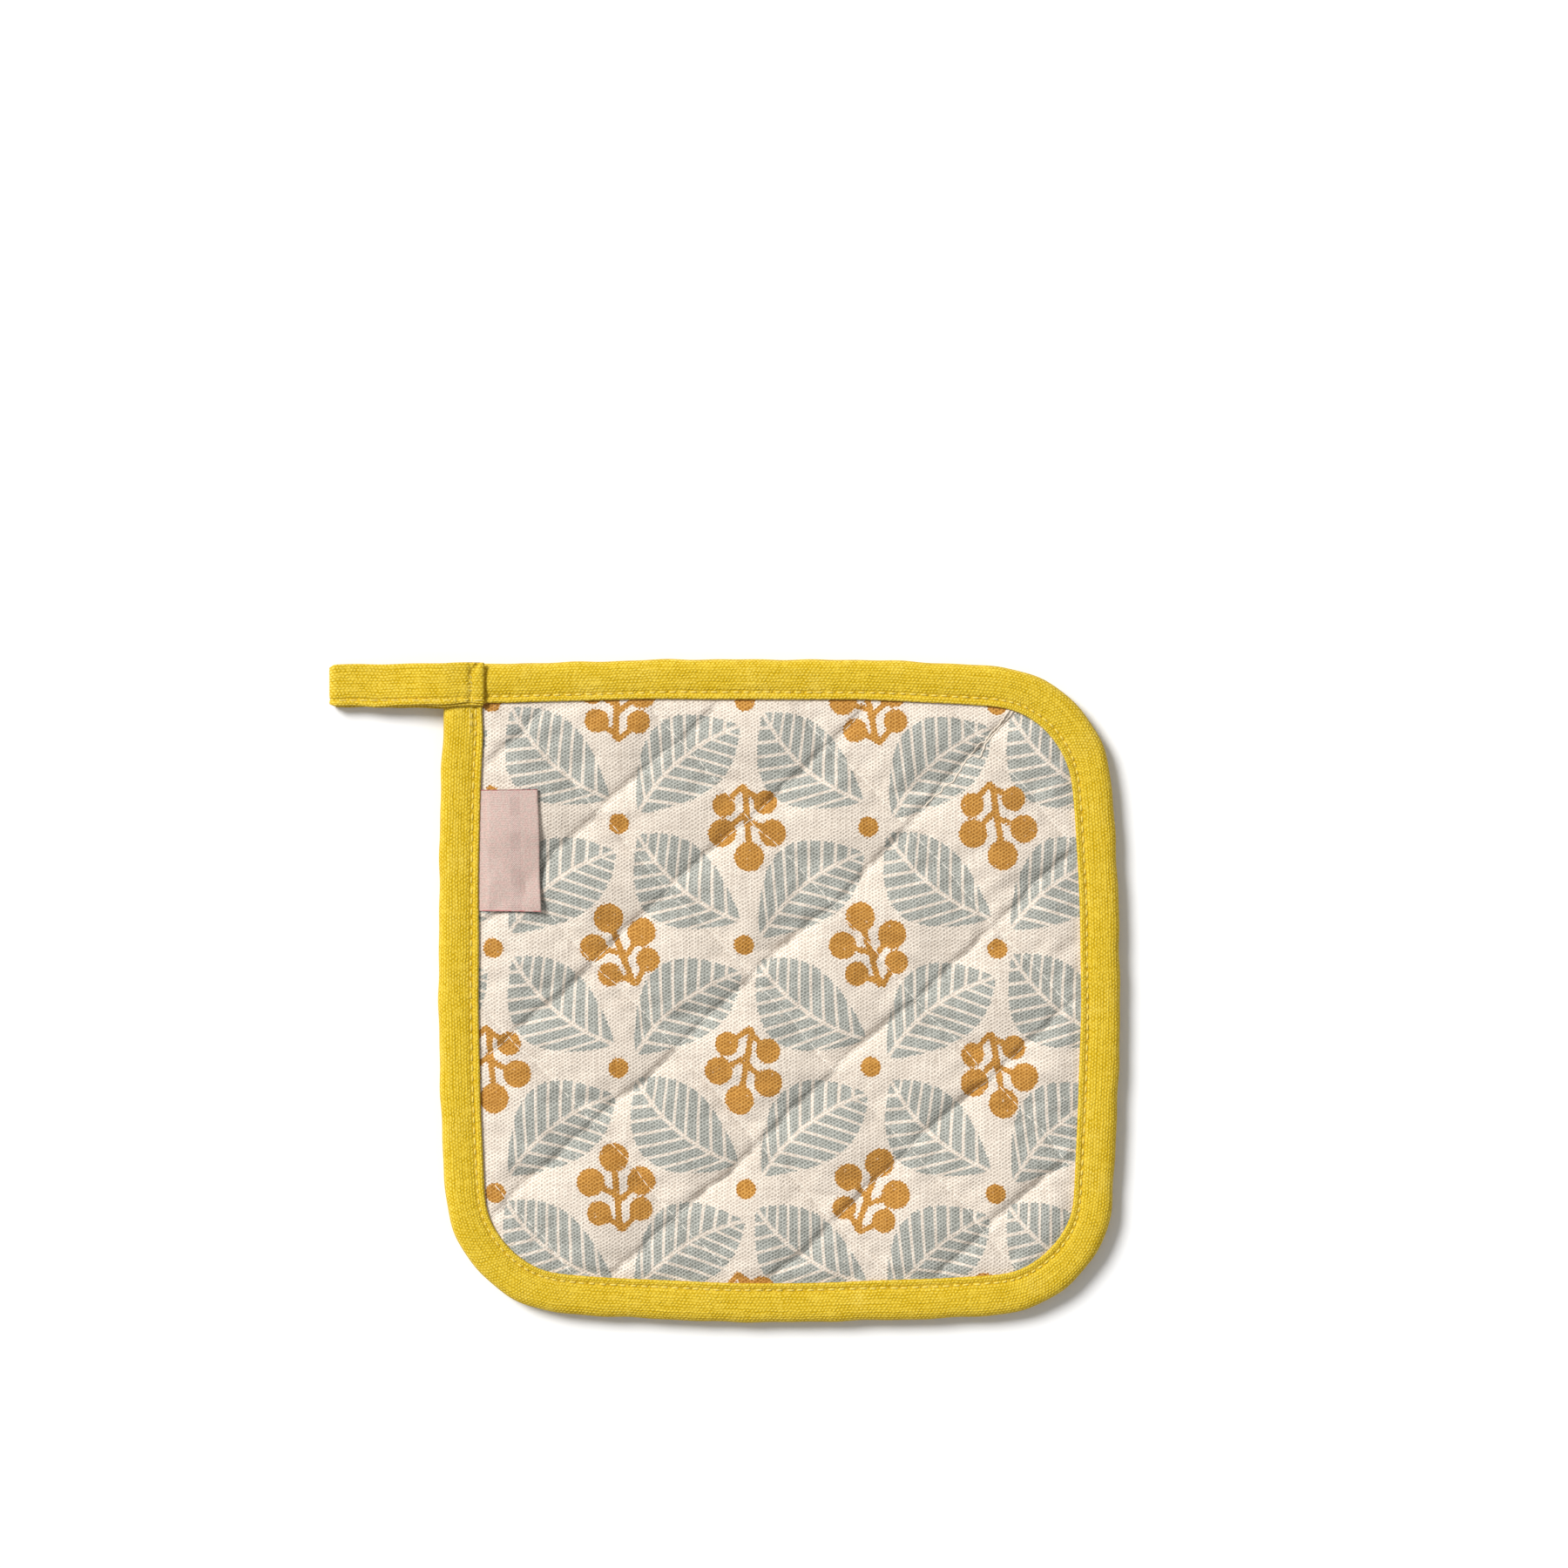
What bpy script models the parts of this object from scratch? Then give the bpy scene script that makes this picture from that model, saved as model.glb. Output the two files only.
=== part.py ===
"""Quilted pot holder: two canvas covers over cotton wadding, a bound edge, a hanging loop and a woven label.

It lies on its back cover with the front up. The loop points to -X along the top (+Y) side, and +Z is up.
Run it with: blender --background --python part.py
"""

import math

import bmesh
import bpy
from mathutils import Vector
from mathutils.bvhtree import BVHTree

# Pad outline, in metres. Three corners are round, and the one that carries the loop is square.
PAD_WIDTH = 0.200
PAD_HEIGHT = 0.195
CORNER_RADIUS = 0.042
SIDE_BOW = 0.0012  # how far each side bulges between its corners

# Layers
GAP = 0.0003  # clearance between pieces that touch
WELD = 0.0001  # mesh points closer than this are one
COVER_THICKNESS = 0.0005
EDGE_HALF = 0.0015  # half thickness of the pad where the binding grips it
VALLEY_HALF = 0.0019  # half thickness of the pad along a line of quilting
FRONT_PUFF = 0.0026  # rise of a front diamond over the quilting lines
BACK_PUFF = 0.0040  # the same on the back, before the table flattens it
EDGE_EASE = 0.012  # distance from the binding at which a diamond reaches its full height

# Quilting: two sets of straight stitch lines, square to each other
QUILT_TURN = math.radians(42.5)  # direction of the first set, from +X
QUILT_PITCH_ALONG = 0.0323  # between the lines of the second set
QUILT_PITCH_ACROSS = 0.0339  # between the lines of the first set
QUILT_START_ALONG = -0.0020  # one line of the second set, from the pad's centre
QUILT_START_ACROSS = 0.0084  # one line of the first set, from the pad's centre
CELL_STEPS = (0.0, 0.2, 0.5, 0.8)  # mesh lines across a diamond
PUFF_POWER = 4  # a higher power gives flatter diamonds with steeper sides

# Edge binding: a canvas tape folded round the edge of the pad
BINDING_WIDTH = 0.0118
TAPE_THICKNESS = 0.0009  # two plies of the folded tape
LIP_DROP = 0.0002  # the lip lies this much lower than the tape's middle
STITCH_INSET = 0.0021  # from the lip to the topstitching
STITCH_SINK = 0.0003

# Hanging loop: a strap of the same tape, folded round the square corner
LOOP_REACH = 0.032  # beyond the side of the pad
LOOP_LAP = 0.0132  # over the pad, to the strap's ends
LOOP_WIDTH = 0.0126
LOOP_THICKNESS = 0.0019
LOOP_TURN_RADIUS = 0.0028  # of the strap's middle line at the far end
LOOP_DROP = 0.0004  # the strap's outer edge lies this far inside the top side
LOOP_STITCH_INSET = 0.0015

# Woven label: a satin ribbon folded in two, its ends under the binding
LABEL_REACH = 0.0174  # from the binding's lip to the fold
LABEL_LENGTH = 0.036
LABEL_CENTRE = 0.0416  # above the pad's centre line
LABEL_PLY = 0.00022
LABEL_FOLD = 0.0008  # overall thickness at the fold
LABEL_TUCK = 0.004  # length under the binding
LABEL_TUCK_THICKNESS = 0.0005
LABEL_DRAPE = 0.0035  # how far round each point the label bridges the cover
LABEL_STEPS = (0.08, 0.2, 0.4, 0.65, 0.85, 1.0)  # mesh lines, as shares of the label's reach
PRESS_MARGIN = 0.012  # the cover is pressed this far beyond the label's ends

# Mesh fineness
SIDE_STEPS = 3  # for each half of a side
ARC_STEPS = 11
TURN_STEPS = 10
LABEL_ROWS = 6

# Places that follow from the sizes
BINDING_HALF = EDGE_HALF + GAP + TAPE_THICKNESS
MIDDLE = LOOP_THICKNESS + GAP + BINDING_HALF  # height of the pad's middle plane over the table
CENTRE = Vector((LOOP_REACH / 2, 0.0))  # the pad's centre: the origin is under the middle of the whole
PAD_INSET = TAPE_THICKNESS + 2 * GAP  # from the binding's outer edge to the edge of the layers
LIP_INSET = BINDING_WIDTH + GAP  # where the cover comes out from under the binding
LABEL_PRESS = LABEL_TUCK_THICKNESS + GAP

CANVAS_PRINT = (0.80, 0.76, 0.68)
CANVAS_NATURAL = (0.78, 0.72, 0.62)
WADDING_WHITE = (0.86, 0.84, 0.78)
BINDING_YELLOW = (0.74, 0.58, 0.07)
LABEL_PINK = (0.80, 0.58, 0.56)


def clear_scene():
    for old in list(bpy.data.objects):
        bpy.data.objects.remove(old)


def fabric(name, colour, roughness):
    """A plain cloth material."""
    material = bpy.data.materials.new(name)
    material.use_nodes = True
    shader = material.node_tree.nodes["Principled BSDF"]
    shader.inputs["Base Color"].default_value = (*colour, 1.0)
    shader.inputs["Roughness"].default_value = roughness
    shader.inputs["Metallic"].default_value = 0.0
    return material


def add_piece(name, shape, material, crease=40.0):
    """Makes the closed bmesh shape an object, with its faces outwards and its curved parts smooth."""
    bmesh.ops.recalc_face_normals(shape, faces=shape.faces)
    mesh = bpy.data.meshes.new(name)
    shape.to_mesh(mesh)
    shape.free()
    mesh.materials.append(material)
    mesh.shade_smooth()
    mesh.set_sharp_from_angle(angle=math.radians(crease))
    piece = bpy.data.objects.new(name, mesh)
    bpy.context.scene.collection.objects.link(piece)
    return piece


def half_side(start, end, steps):
    """Points from start towards end, without the end."""
    return [start.lerp(end, i / steps) for i in range(steps)]


def arc(centre, radius, start_degrees, sweep_degrees, steps):
    """Points along an arc, without its last one."""
    angles = [math.radians(start_degrees + sweep_degrees * i / steps) for i in range(steps)]
    return [centre + radius * Vector((math.cos(a), math.sin(a))) for a in angles]


def bowed(point, half_width, half_height):
    """Moves a point of the straight-sided outline out, most in the middle of each side."""
    x, y = point
    wider = 1 + SIDE_BOW / half_width * (1 - (y / half_height) ** 2)
    taller = 1 + SIDE_BOW / half_height * (1 - (x / half_width) ** 2)
    return CENTRE + Vector((x * wider, y * taller))


def outline():
    """The pad's outer edge from above, anticlockwise from the square corner, as pairs of point and inward mitre."""
    half_width = PAD_WIDTH / 2 - SIDE_BOW
    half_height = PAD_HEIGHT / 2 - SIDE_BOW
    inner_x, inner_y = half_width - CORNER_RADIUS, half_height - CORNER_RADIUS
    points = half_side(Vector((-half_width, half_height)), Vector((-half_width, 0)), SIDE_STEPS)
    points += half_side(Vector((-half_width, 0)), Vector((-half_width, -inner_y)), SIDE_STEPS)
    points += arc(Vector((-inner_x, -inner_y)), CORNER_RADIUS, 180, 90, ARC_STEPS)
    points += half_side(Vector((-inner_x, -half_height)), Vector((0, -half_height)), SIDE_STEPS)
    points += half_side(Vector((0, -half_height)), Vector((inner_x, -half_height)), SIDE_STEPS)
    points += arc(Vector((inner_x, -inner_y)), CORNER_RADIUS, 270, 90, ARC_STEPS)
    points += half_side(Vector((half_width, -inner_y)), Vector((half_width, 0)), SIDE_STEPS)
    points += half_side(Vector((half_width, 0)), Vector((half_width, inner_y)), SIDE_STEPS)
    points += arc(Vector((inner_x, inner_y)), CORNER_RADIUS, 0, 90, ARC_STEPS)
    points += half_side(Vector((inner_x, half_height)), Vector((0, half_height)), SIDE_STEPS)
    points += half_side(Vector((0, half_height)), Vector((-half_width, half_height)), SIDE_STEPS)
    points = [bowed(p, half_width, half_height) for p in points]
    ring = []
    for i, point in enumerate(points):
        before = inward_normal(points[i - 1], point)
        after = inward_normal(point, points[(i + 1) % len(points)])
        ring.append((point, (before + after) / (1 + before.dot(after))))
    return ring


def inward_normal(start, end):
    along = (end - start).normalized()
    return Vector((-along.y, along.x))


def inset(ring, depth):
    """The outline moved in by depth on every side."""
    return [point + mitre * depth for point, mitre in ring]


def left_side_x(y):
    """Where the pad's left side is, at that height above its centre."""
    half_width = PAD_WIDTH / 2 - SIDE_BOW
    half_height = PAD_HEIGHT / 2 - SIDE_BOW
    return bowed(Vector((-half_width, y)), half_width, half_height).x


def sweep_closed(shape, rows):
    """Joins rows of points, each a closed ring, one to the next. It returns the first and last ring."""
    rings = [[shape.verts.new(p) for p in row] for row in rows]
    for lower, upper in zip(rings, rings[1:]):
        bridge(shape, lower, upper)
    return rings[0], rings[-1]


def bridge(shape, lower, upper):
    """Quads between two rings of as many points."""
    count = len(lower)
    for i in range(count):
        j = (i + 1) % count
        shape.faces.new((lower[i], lower[j], upper[j], upper[i]))


def capped(rows):
    """A closed strip through the rows of points, with a flat face at each end."""
    shape = bmesh.new()
    first, last = sweep_closed(shape, rows)
    shape.faces.new(first)
    shape.faces.new(last)
    return shape


def pillow(share):
    """Height across a diamond: 0 on its stitch lines and 1 in its middle."""
    return 1 - abs(2 * (share - math.floor(share)) - 1) ** PUFF_POWER


def quilt_place(x, y):
    """Where a point lies in the quilting, counted in diamonds along and across the first set of lines."""
    x, y = x - CENTRE.x, y - CENTRE.y
    along = x * math.cos(QUILT_TURN) + y * math.sin(QUILT_TURN)
    across = y * math.cos(QUILT_TURN) - x * math.sin(QUILT_TURN)
    return (
        (along - QUILT_START_ALONG) / QUILT_PITCH_ALONG,
        (across - QUILT_START_ACROSS) / QUILT_PITCH_ACROSS,
    )


def quilt_point(along, across):
    """The reverse of quilt_place."""
    along = along * QUILT_PITCH_ALONG + QUILT_START_ALONG
    across = across * QUILT_PITCH_ACROSS + QUILT_START_ACROSS
    cos, sin = math.cos(QUILT_TURN), math.sin(QUILT_TURN)
    return CENTRE.x + along * cos - across * sin, CENTRE.y + along * sin + across * cos


def inside_distance(x, y, edge):
    """Distance of a point from a convex outline, inwards."""
    point = Vector((x, y))
    return min((point - a).dot(inward_normal(a, b)) for a, b in zip(edge, edge[1:] + edge[:1]))


def eased(distance):
    """Share of the full puff at that distance from the binding's lip."""
    share = min(max(distance / EDGE_EASE, 0.0), 1.0)
    return 1 - (1 - share) ** 2


def half_thickness(x, y, lip, puff):
    """The pad's half thickness on one side of its middle plane."""
    rise = VALLEY_HALF - EDGE_HALF
    along, across = quilt_place(x, y)
    rise += puff * pillow(along) * pillow(across)
    return EDGE_HALF + eased(inside_distance(x, y, lip)) * rise


def label_press(x, y):
    """How far the tucked label presses the front cover down."""
    beyond = abs(y - CENTRE.y - LABEL_CENTRE) - LABEL_LENGTH / 2 - PRESS_MARGIN
    along = 1 - min(max(beyond / PRESS_MARGIN, 0.0), 1.0)
    past_lip = x - left_side_x(y - CENTRE.y) - LIP_INSET
    across = 1 - min(max(past_lip / LABEL_TUCK, 0.0), 1.0)
    return LABEL_PRESS * along * across


def cell_lines(reach):
    """Mesh lines across the quilting, in diamonds, as far as reach on both sides of the centre."""
    return [cell + step for cell in range(-reach, reach) for step in CELL_STEPS] + [float(reach)]


def quilt_grid(shape):
    """A flat grid in line with the quilting."""
    diagonal = math.hypot(PAD_WIDTH, PAD_HEIGHT) / 2
    lines_along = cell_lines(math.ceil(diagonal / QUILT_PITCH_ALONG) + 1)
    lines_across = cell_lines(math.ceil(diagonal / QUILT_PITCH_ACROSS) + 1)
    grid = [[shape.verts.new((*quilt_point(a, b), 0)) for b in lines_across] for a in lines_along]
    for a, after_a in zip(grid, grid[1:]):
        for i in range(len(a) - 1):
            shape.faces.new((a[i], after_a[i], after_a[i + 1], a[i + 1]))


def cut_to(shape, edge):
    """Keeps what lies inside a convex outline."""
    for a, b in zip(edge, edge[1:] + edge[:1]):
        outwards = -inward_normal(a, b)
        bmesh.ops.bisect_plane(
            shape,
            geom=shape.verts[:] + shape.edges[:] + shape.faces[:],
            dist=1e-7,
            plane_co=(*a, 0),
            plane_no=(*outwards, 0),
            clear_outer=True,
        )
    bmesh.ops.remove_doubles(shape, verts=shape.verts, dist=WELD)


def fan(face):
    """Splits a face into triangles from its corner nearest to the middle of a diamond."""
    corners = [v.index for v in face.verts]
    off = []
    for vert in face.verts:
        along, across = quilt_place(*vert.co.xy)
        off.append(math.hypot(along % 1 - 0.5, across % 1 - 0.5))
    first = off.index(min(off))
    corners = corners[first:] + corners[:first]
    return [(corners[0], b, c) for b, c in zip(corners[1:], corners[2:])]


def onto_outer(point, inner, outer):
    """The point of the outer outline that matches a point on the inner one."""
    best, found = math.inf, None
    count = len(inner)
    for i in range(count):
        a, b = inner[i], inner[(i + 1) % count]
        along = b - a
        share = min(max((point - a).dot(along) / along.length_squared, 0.0), 1.0)
        off = (point - a - along * share).length
        if off < best:
            best, found = off, outer[i].lerp(outer[(i + 1) % count], share)
    return found


def layer_plan(ring):
    """The flat mesh that all three layers share, as points and triangles: diamonds, and a margin under the binding."""
    shape = bmesh.new()
    lip, edge = inset(ring, LIP_INSET), inset(ring, PAD_INSET)
    quilt_grid(shape)
    cut_to(shape, lip)
    rim = [e for e in shape.edges if e.is_boundary]
    margin = bmesh.ops.extrude_edge_only(shape, edges=rim)["geom"]
    for vert in (v for v in margin if isinstance(v, bmesh.types.BMVert)):
        vert.co = (*onto_outer(vert.co.xy, lip, edge), 0)
    bmesh.ops.recalc_face_normals(shape, faces=shape.faces)
    shape.verts.index_update()
    points = [v.co.xy for v in shape.verts]
    triangles = [triangle for face in shape.faces for triangle in fan(face)]
    rims = [[v.index for v in e.verts] for e in shape.edges if e.is_boundary]
    shape.free()
    return points, triangles, rims


def slab(plan, top, bottom):
    """A closed layer between two height lists over the same flat mesh."""
    points, triangles, rims = plan
    shape = bmesh.new()
    upper = [shape.verts.new((*p, z)) for p, z in zip(points, top)]
    lower = [shape.verts.new((*p, z)) for p, z in zip(points, bottom)]
    for a, b, c in triangles:
        shape.faces.new((upper[a], upper[b], upper[c]))
        shape.faces.new((lower[c], lower[b], lower[a]))
    for a, b in rims:
        shape.faces.new((upper[a], upper[b], lower[b], lower[a]))
    return shape


def add_layers(ring):
    """Front cover, wadding and back cover, one on the other with a clearance between them. Returns the front cover."""
    plan = layer_plan(ring)
    points = plan[0]
    lip = inset(ring, LIP_INSET)
    front = [MIDDLE + half_thickness(*p, lip, FRONT_PUFF) - label_press(*p) for p in points]
    back = [max(MIDDLE - half_thickness(*p, lip, BACK_PUFF), 0.0) for p in points]
    under_front = [z - COVER_THICKNESS for z in front]
    over_back = [z + COVER_THICKNESS for z in back]
    front_cover = slab(plan, front, under_front)
    wadding = slab(plan, [z - GAP for z in under_front], [z + GAP for z in over_back])
    back_cover = slab(plan, over_back, back)
    cover = add_piece("front_cover", front_cover, fabric("canvas_print", CANVAS_PRINT, 0.9))
    add_piece("wadding", wadding, fabric("cotton_wadding", WADDING_WHITE, 1.0))
    add_piece("back_cover", back_cover, fabric("canvas_natural", CANVAS_NATURAL, 0.9))
    return cover


def binding_profile():
    """Section of the binding, as (depth from the outer edge, height from the middle plane): a tape folded into a C."""
    gripped = EDGE_HALF + GAP
    stitch = BINDING_WIDTH - STITCH_INSET
    half = [
        (BINDING_WIDTH, gripped),
        (BINDING_WIDTH, BINDING_HALF - LIP_DROP),
        (stitch, BINDING_HALF - STITCH_SINK),
        (stitch - STITCH_INSET, BINDING_HALF),
        (TAPE_THICKNESS * 3, BINDING_HALF),
        (TAPE_THICKNESS, BINDING_HALF - TAPE_THICKNESS * 0.6),
        (0.0, EDGE_HALF / 2),
    ]
    inner = [(TAPE_THICKNESS + GAP, -gripped), (TAPE_THICKNESS + GAP, gripped)]
    return half + [(depth, -height) for depth, height in reversed(half)] + inner


def add_binding(ring):
    shape = bmesh.new()
    profile = binding_profile()
    rows = [[(*(point + mitre * depth), MIDDLE + z) for depth, z in profile] for point, mitre in ring]
    first, last = sweep_closed(shape, rows)
    bridge(shape, last, first)
    return add_piece("edge_binding", shape, fabric("binding_canvas", BINDING_YELLOW, 0.85))


def loop_path():
    """Middle line of the loop's strap seen from the side, as (x, z): over the pad's corner, out, round and back under it."""
    half = LOOP_THICKNESS / 2
    side = CENTRE.x - PAD_WIDTH / 2
    over, under = 2 * MIDDLE - half, half
    turn = Vector((side - LOOP_REACH + half + LOOP_TURN_RADIUS, under + LOOP_TURN_RADIUS))
    knee = Vector((side - LOOP_THICKNESS, over))
    away = knee - turn
    slope = math.atan2(away.y, away.x) - math.asin(LOOP_TURN_RADIUS / away.length)
    path = half_side(Vector((side + LOOP_LAP, over)), knee, 3)
    path += half_side(knee, turn + LOOP_TURN_RADIUS * Vector((-math.sin(slope), math.cos(slope))), 4)
    start = 90 + math.degrees(slope)
    path += arc(turn, LOOP_TURN_RADIUS, start, 270 - start, TURN_STEPS)
    path += half_side(Vector((turn.x, under)), Vector((side + LOOP_LAP, under)), 3)
    return path + [Vector((side + LOOP_LAP, under))]


def strap_section():
    """Section of the loop's strap, as (across, outwards): its fold is round, and its lips meet at a stitched edge."""
    across, out = LOOP_WIDTH / 2, LOOP_THICKNESS / 2
    stitch = LOOP_STITCH_INSET - across
    half = [
        (across - out * 0.2, out * 0.55),
        (across - out, out),
        (stitch + LOOP_STITCH_INSET, out),
        (stitch, out - STITCH_SINK * 0.7),
        (-across + out * 0.5, out),
        (-across, out * 0.8),
        (-across, out * 0.25),
    ]
    lips = [(-across + out, 0.0)]
    return [(across, 0.0)] + half + lips + [(w, -t) for w, t in reversed(half)]


def add_loop():
    path = loop_path()
    section = strap_section()
    middle_y = CENTRE.y + PAD_HEIGHT / 2 - SIDE_BOW - LOOP_DROP - LOOP_WIDTH / 2
    rows = []
    for i, point in enumerate(path):
        before = path[max(i - 1, 0)]
        after = path[min(i + 1, len(path) - 1)]
        along = (after - before).normalized()
        outwards = Vector((along.y, -along.x))
        rows.append(
            [(point.x + outwards.x * t, middle_y + w, point.y + outwards.y * t) for w, t in section]
        )
    return add_piece("hanging_loop", capped(rows), bpy.data.materials["binding_canvas"])


def cover_top(tree, x, y, reach):
    """The highest that the front cover comes within reach of a point, which is where a stiff label lies."""
    above, down = 4 * MIDDLE, Vector((0, 0, -1))
    steps = (-reach, 0.0, reach)
    hits = [tree.ray_cast(Vector((x + dx, y + dy, above)), down)[0] for dx in steps for dy in steps]
    return max(hit.z for hit in hits if hit)


def label_row(tree, y):
    """Section of the label at one height y: a ribbon folded at its nose, with its two ends under the binding."""
    lip = left_side_x(y - CENTRE.y) + LIP_INSET
    low = MIDDLE + EDGE_HALF - LABEL_TUCK_THICKNESS
    under = [(lip - LABEL_TUCK, low), (lip, low)]
    over = [(x, z + LABEL_TUCK_THICKNESS) for x, z in under]
    for share in LABEL_STEPS:
        off = share * LABEL_REACH
        z = cover_top(tree, lip + off, y, min(off, LABEL_DRAPE)) + GAP
        under.append((lip + off, z))
        over.append((lip + off, z + LABEL_FOLD))
    nose = (under[-1][0] + LABEL_FOLD / 2, under[-1][1] + LABEL_FOLD / 2)
    slit_nose = (nose[0] - LABEL_PLY, nose[1])
    outside = under + [nose] + over[::-1]
    slit = [(x, z - LABEL_PLY) for x, z in over] + [slit_nose] + [(x, z + LABEL_PLY) for x, z in under[::-1]]
    return [(x, y, z) for x, z in outside + slit]


def add_label(cover):
    """The label lies on the front cover, with its ends in the seam and its fold towards the middle of the pad."""
    shape = bmesh.new()
    shape.from_mesh(cover.data)
    tree = BVHTree.FromBMesh(shape)
    shape.free()
    lowest = CENTRE.y + LABEL_CENTRE - LABEL_LENGTH / 2
    rows = [label_row(tree, lowest + LABEL_LENGTH * i / (LABEL_ROWS - 1)) for i in range(LABEL_ROWS)]
    return add_piece("woven_label", capped(rows), fabric("label_satin", LABEL_PINK, 0.5), crease=60.0)


clear_scene()
edge_ring = outline()
front = add_layers(edge_ring)
add_binding(edge_ring)
add_loop()
add_label(front)
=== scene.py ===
"""Looks of the quilted pot holder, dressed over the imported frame.

Pad coordinates have their zero in the middle of the pad, and the frame's are PAD_X further along X.
All sizes are in metres, unless a comment says otherwise.
"""

import math

import bpy
import numpy as np
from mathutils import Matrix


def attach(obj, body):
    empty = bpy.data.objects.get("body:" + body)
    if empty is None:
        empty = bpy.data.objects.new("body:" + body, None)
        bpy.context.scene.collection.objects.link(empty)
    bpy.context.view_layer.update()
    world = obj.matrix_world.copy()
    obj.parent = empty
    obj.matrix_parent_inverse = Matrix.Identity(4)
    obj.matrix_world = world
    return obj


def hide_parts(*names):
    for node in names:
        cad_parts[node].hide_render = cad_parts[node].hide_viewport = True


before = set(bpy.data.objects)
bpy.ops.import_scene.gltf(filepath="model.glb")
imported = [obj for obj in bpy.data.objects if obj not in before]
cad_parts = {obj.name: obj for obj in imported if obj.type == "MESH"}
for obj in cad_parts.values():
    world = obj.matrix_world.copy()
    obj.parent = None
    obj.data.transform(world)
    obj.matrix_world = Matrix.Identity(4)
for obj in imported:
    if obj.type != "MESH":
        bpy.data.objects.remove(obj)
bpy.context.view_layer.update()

# The pad, where the frame has it, and its outline as the bound edge really lies
PAD_X = 0.016
HALF_WIDTH = 0.0953
HALF_HEIGHT = 0.0926
CORNER_RADIUS = 0.0298
SIDE_BOW = 0.0052
SQUARE_SHARE = 0.7  # of the bow, that is left at the square corner
MIDDLE = 0.0049  # height of the pad's middle plane over the table
BINDING_WIDTH = 0.0118
BINDING_HALF = 0.0027
MITRE_REACH = 0.022  # from the square corner, over which the binding's folds turn to its mitre
CLOTH_HALF = 0.0015  # of the pad, under the binding and along the quilting
COVER_THICKNESS = 0.0004

# Quilting: where the stitch lines lie, measured square to them from the pad's middle
QUILT_TURN = math.radians(42.6)
LINES_ALONG = (-0.1320, -0.1010, -0.0672, -0.0342, -0.0034, 0.0284, 0.0602, 0.0935, 0.1260)
LINES_ACROSS = (-0.1250, -0.0933, -0.0604, -0.0285, 0.0085, 0.0438, 0.0747, 0.1075, 0.1400)
LOOSE_LINE = LINES_ACROSS[4]  # the one that bends off where the loose thread lies
QUILT_WAVER = 0.0005
QUILT_SPAN = 0.25  # over which the hand-made unevenness of the quilting repeats
CLOTH_STEP = 0.0009
FRONT_RISE = 0.0031
BACK_RISE = 0.0038
STITCH_DIP = 0.0005
SIDEWAYS_LIMIT = 0.0012  # how far the simulation may move a point of the plain pillows
RISE_LIMIT = 0.0018
SIMULATION_STEPS = 12
QUILT_STITCH = 0.0029
STITCH_SHARE = 0.84  # of its length, that a stitch shows
# The creases that show most in front: right end's x and y, length, fall to the left end, and depth, which is
# in millimetres
CREASES = (
    (0.0103, 0.0210, 0.018, -0.0010, 1.1),
    (0.0046, 0.0139, 0.019, -0.0021, 1.1),
    (-0.0660, 0.0012, 0.018, -0.0018, 1.5),
    (0.0430, 0.0592, 0.0165, -0.0006, 1.4),
    (-0.0228, -0.0072, 0.015, 0.0002, 1.3),
    (-0.0245, -0.0109, 0.009, 0.0002, 0.5),
    (-0.0487, -0.0331, 0.012, 0.0009, 1.2),
    (-0.0715, -0.0546, 0.012, 0.0004, 1.3),
    (-0.0510, 0.0140, 0.008, -0.0006, 0.6),
    (-0.0380, 0.0695, 0.008, -0.0010, 0.6),
)

# The binding's tape and its topstitching
TOP_STITCH = 0.0031
STITCH_INSET = 0.0021  # from the binding's lip to its topstitching
STITCH_DEPTH = BINDING_WIDTH - STITCH_INSET
LIP = 0.0117  # depth at which the folded lip is highest
TAPE_STEP = 0.00062
COVER_DEPTH = 0.0045  # how far inside the pad's edge the covers start, under the binding

# The loop's strap
PAD_SIDE = -0.1
SIDE_X = PAD_X + PAD_SIDE
LOOP_REACH = 0.0332
LOOP_LAP = 0.0136
LOOP_WIDTH = 0.0122
LOOP_HALF = 0.0009
LOOP_TURN = 0.0016
LOOP_TOP = 0.0961
LOOP_BOTTOM = LOOP_TOP - LOOP_WIDTH
LOOP_SEAM = 0.00165  # from the strap's lips to their row of stitches
LOOP_STEP = 0.0004
END_ROWS = (0.0088, 0.0093)  # from the pad's side to the two rows across the strap's end
END_STITCH = 0.0022

LABEL_LENGTH = 0.0357
LABEL_REACH = 0.0174
LABEL_MIDDLE = 0.0415

# The print, in millimetres
PRINT_PITCH = (37.0, 36.0)
PRINT_START = (8.0, -5.0)
LEAF_LENGTH = 20.0
LEAF_WIDTH = 12.0
VEIN_PITCH = 4.4
DOT_SIZE = 2.9
BERRIES = ((9.4, -0.3, 4.3), (3.2, 7.4, 4.0), (1.6, -7.4, 4.1), (-6.0, 6.2, 3.5), (-6.6, -6.0, 3.4))

# The loose thread's two strands, in pixels of the photograph
PIXEL = 0.0002564
PHOTO_WIDTH = 1800
PHOTO_MIDDLE = (895, 1138)  # where the middle of the pad lies
STRAND = (
    (1062, 925), (1071, 916), (1080, 909), (1084, 903), (1094, 897), (1103, 883), (1111, 871), (1118, 867),
    (1124, 870), (1129, 861), (1133, 852), (1141, 843), (1150, 833), (1157, 824), (1166, 814),
)
SECOND_STRAND = (
    (1112, 870), (1119, 861), (1124, 854), (1131, 851), (1138, 841), (1147, 832), (1154, 822), (1161, 812),
)

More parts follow.
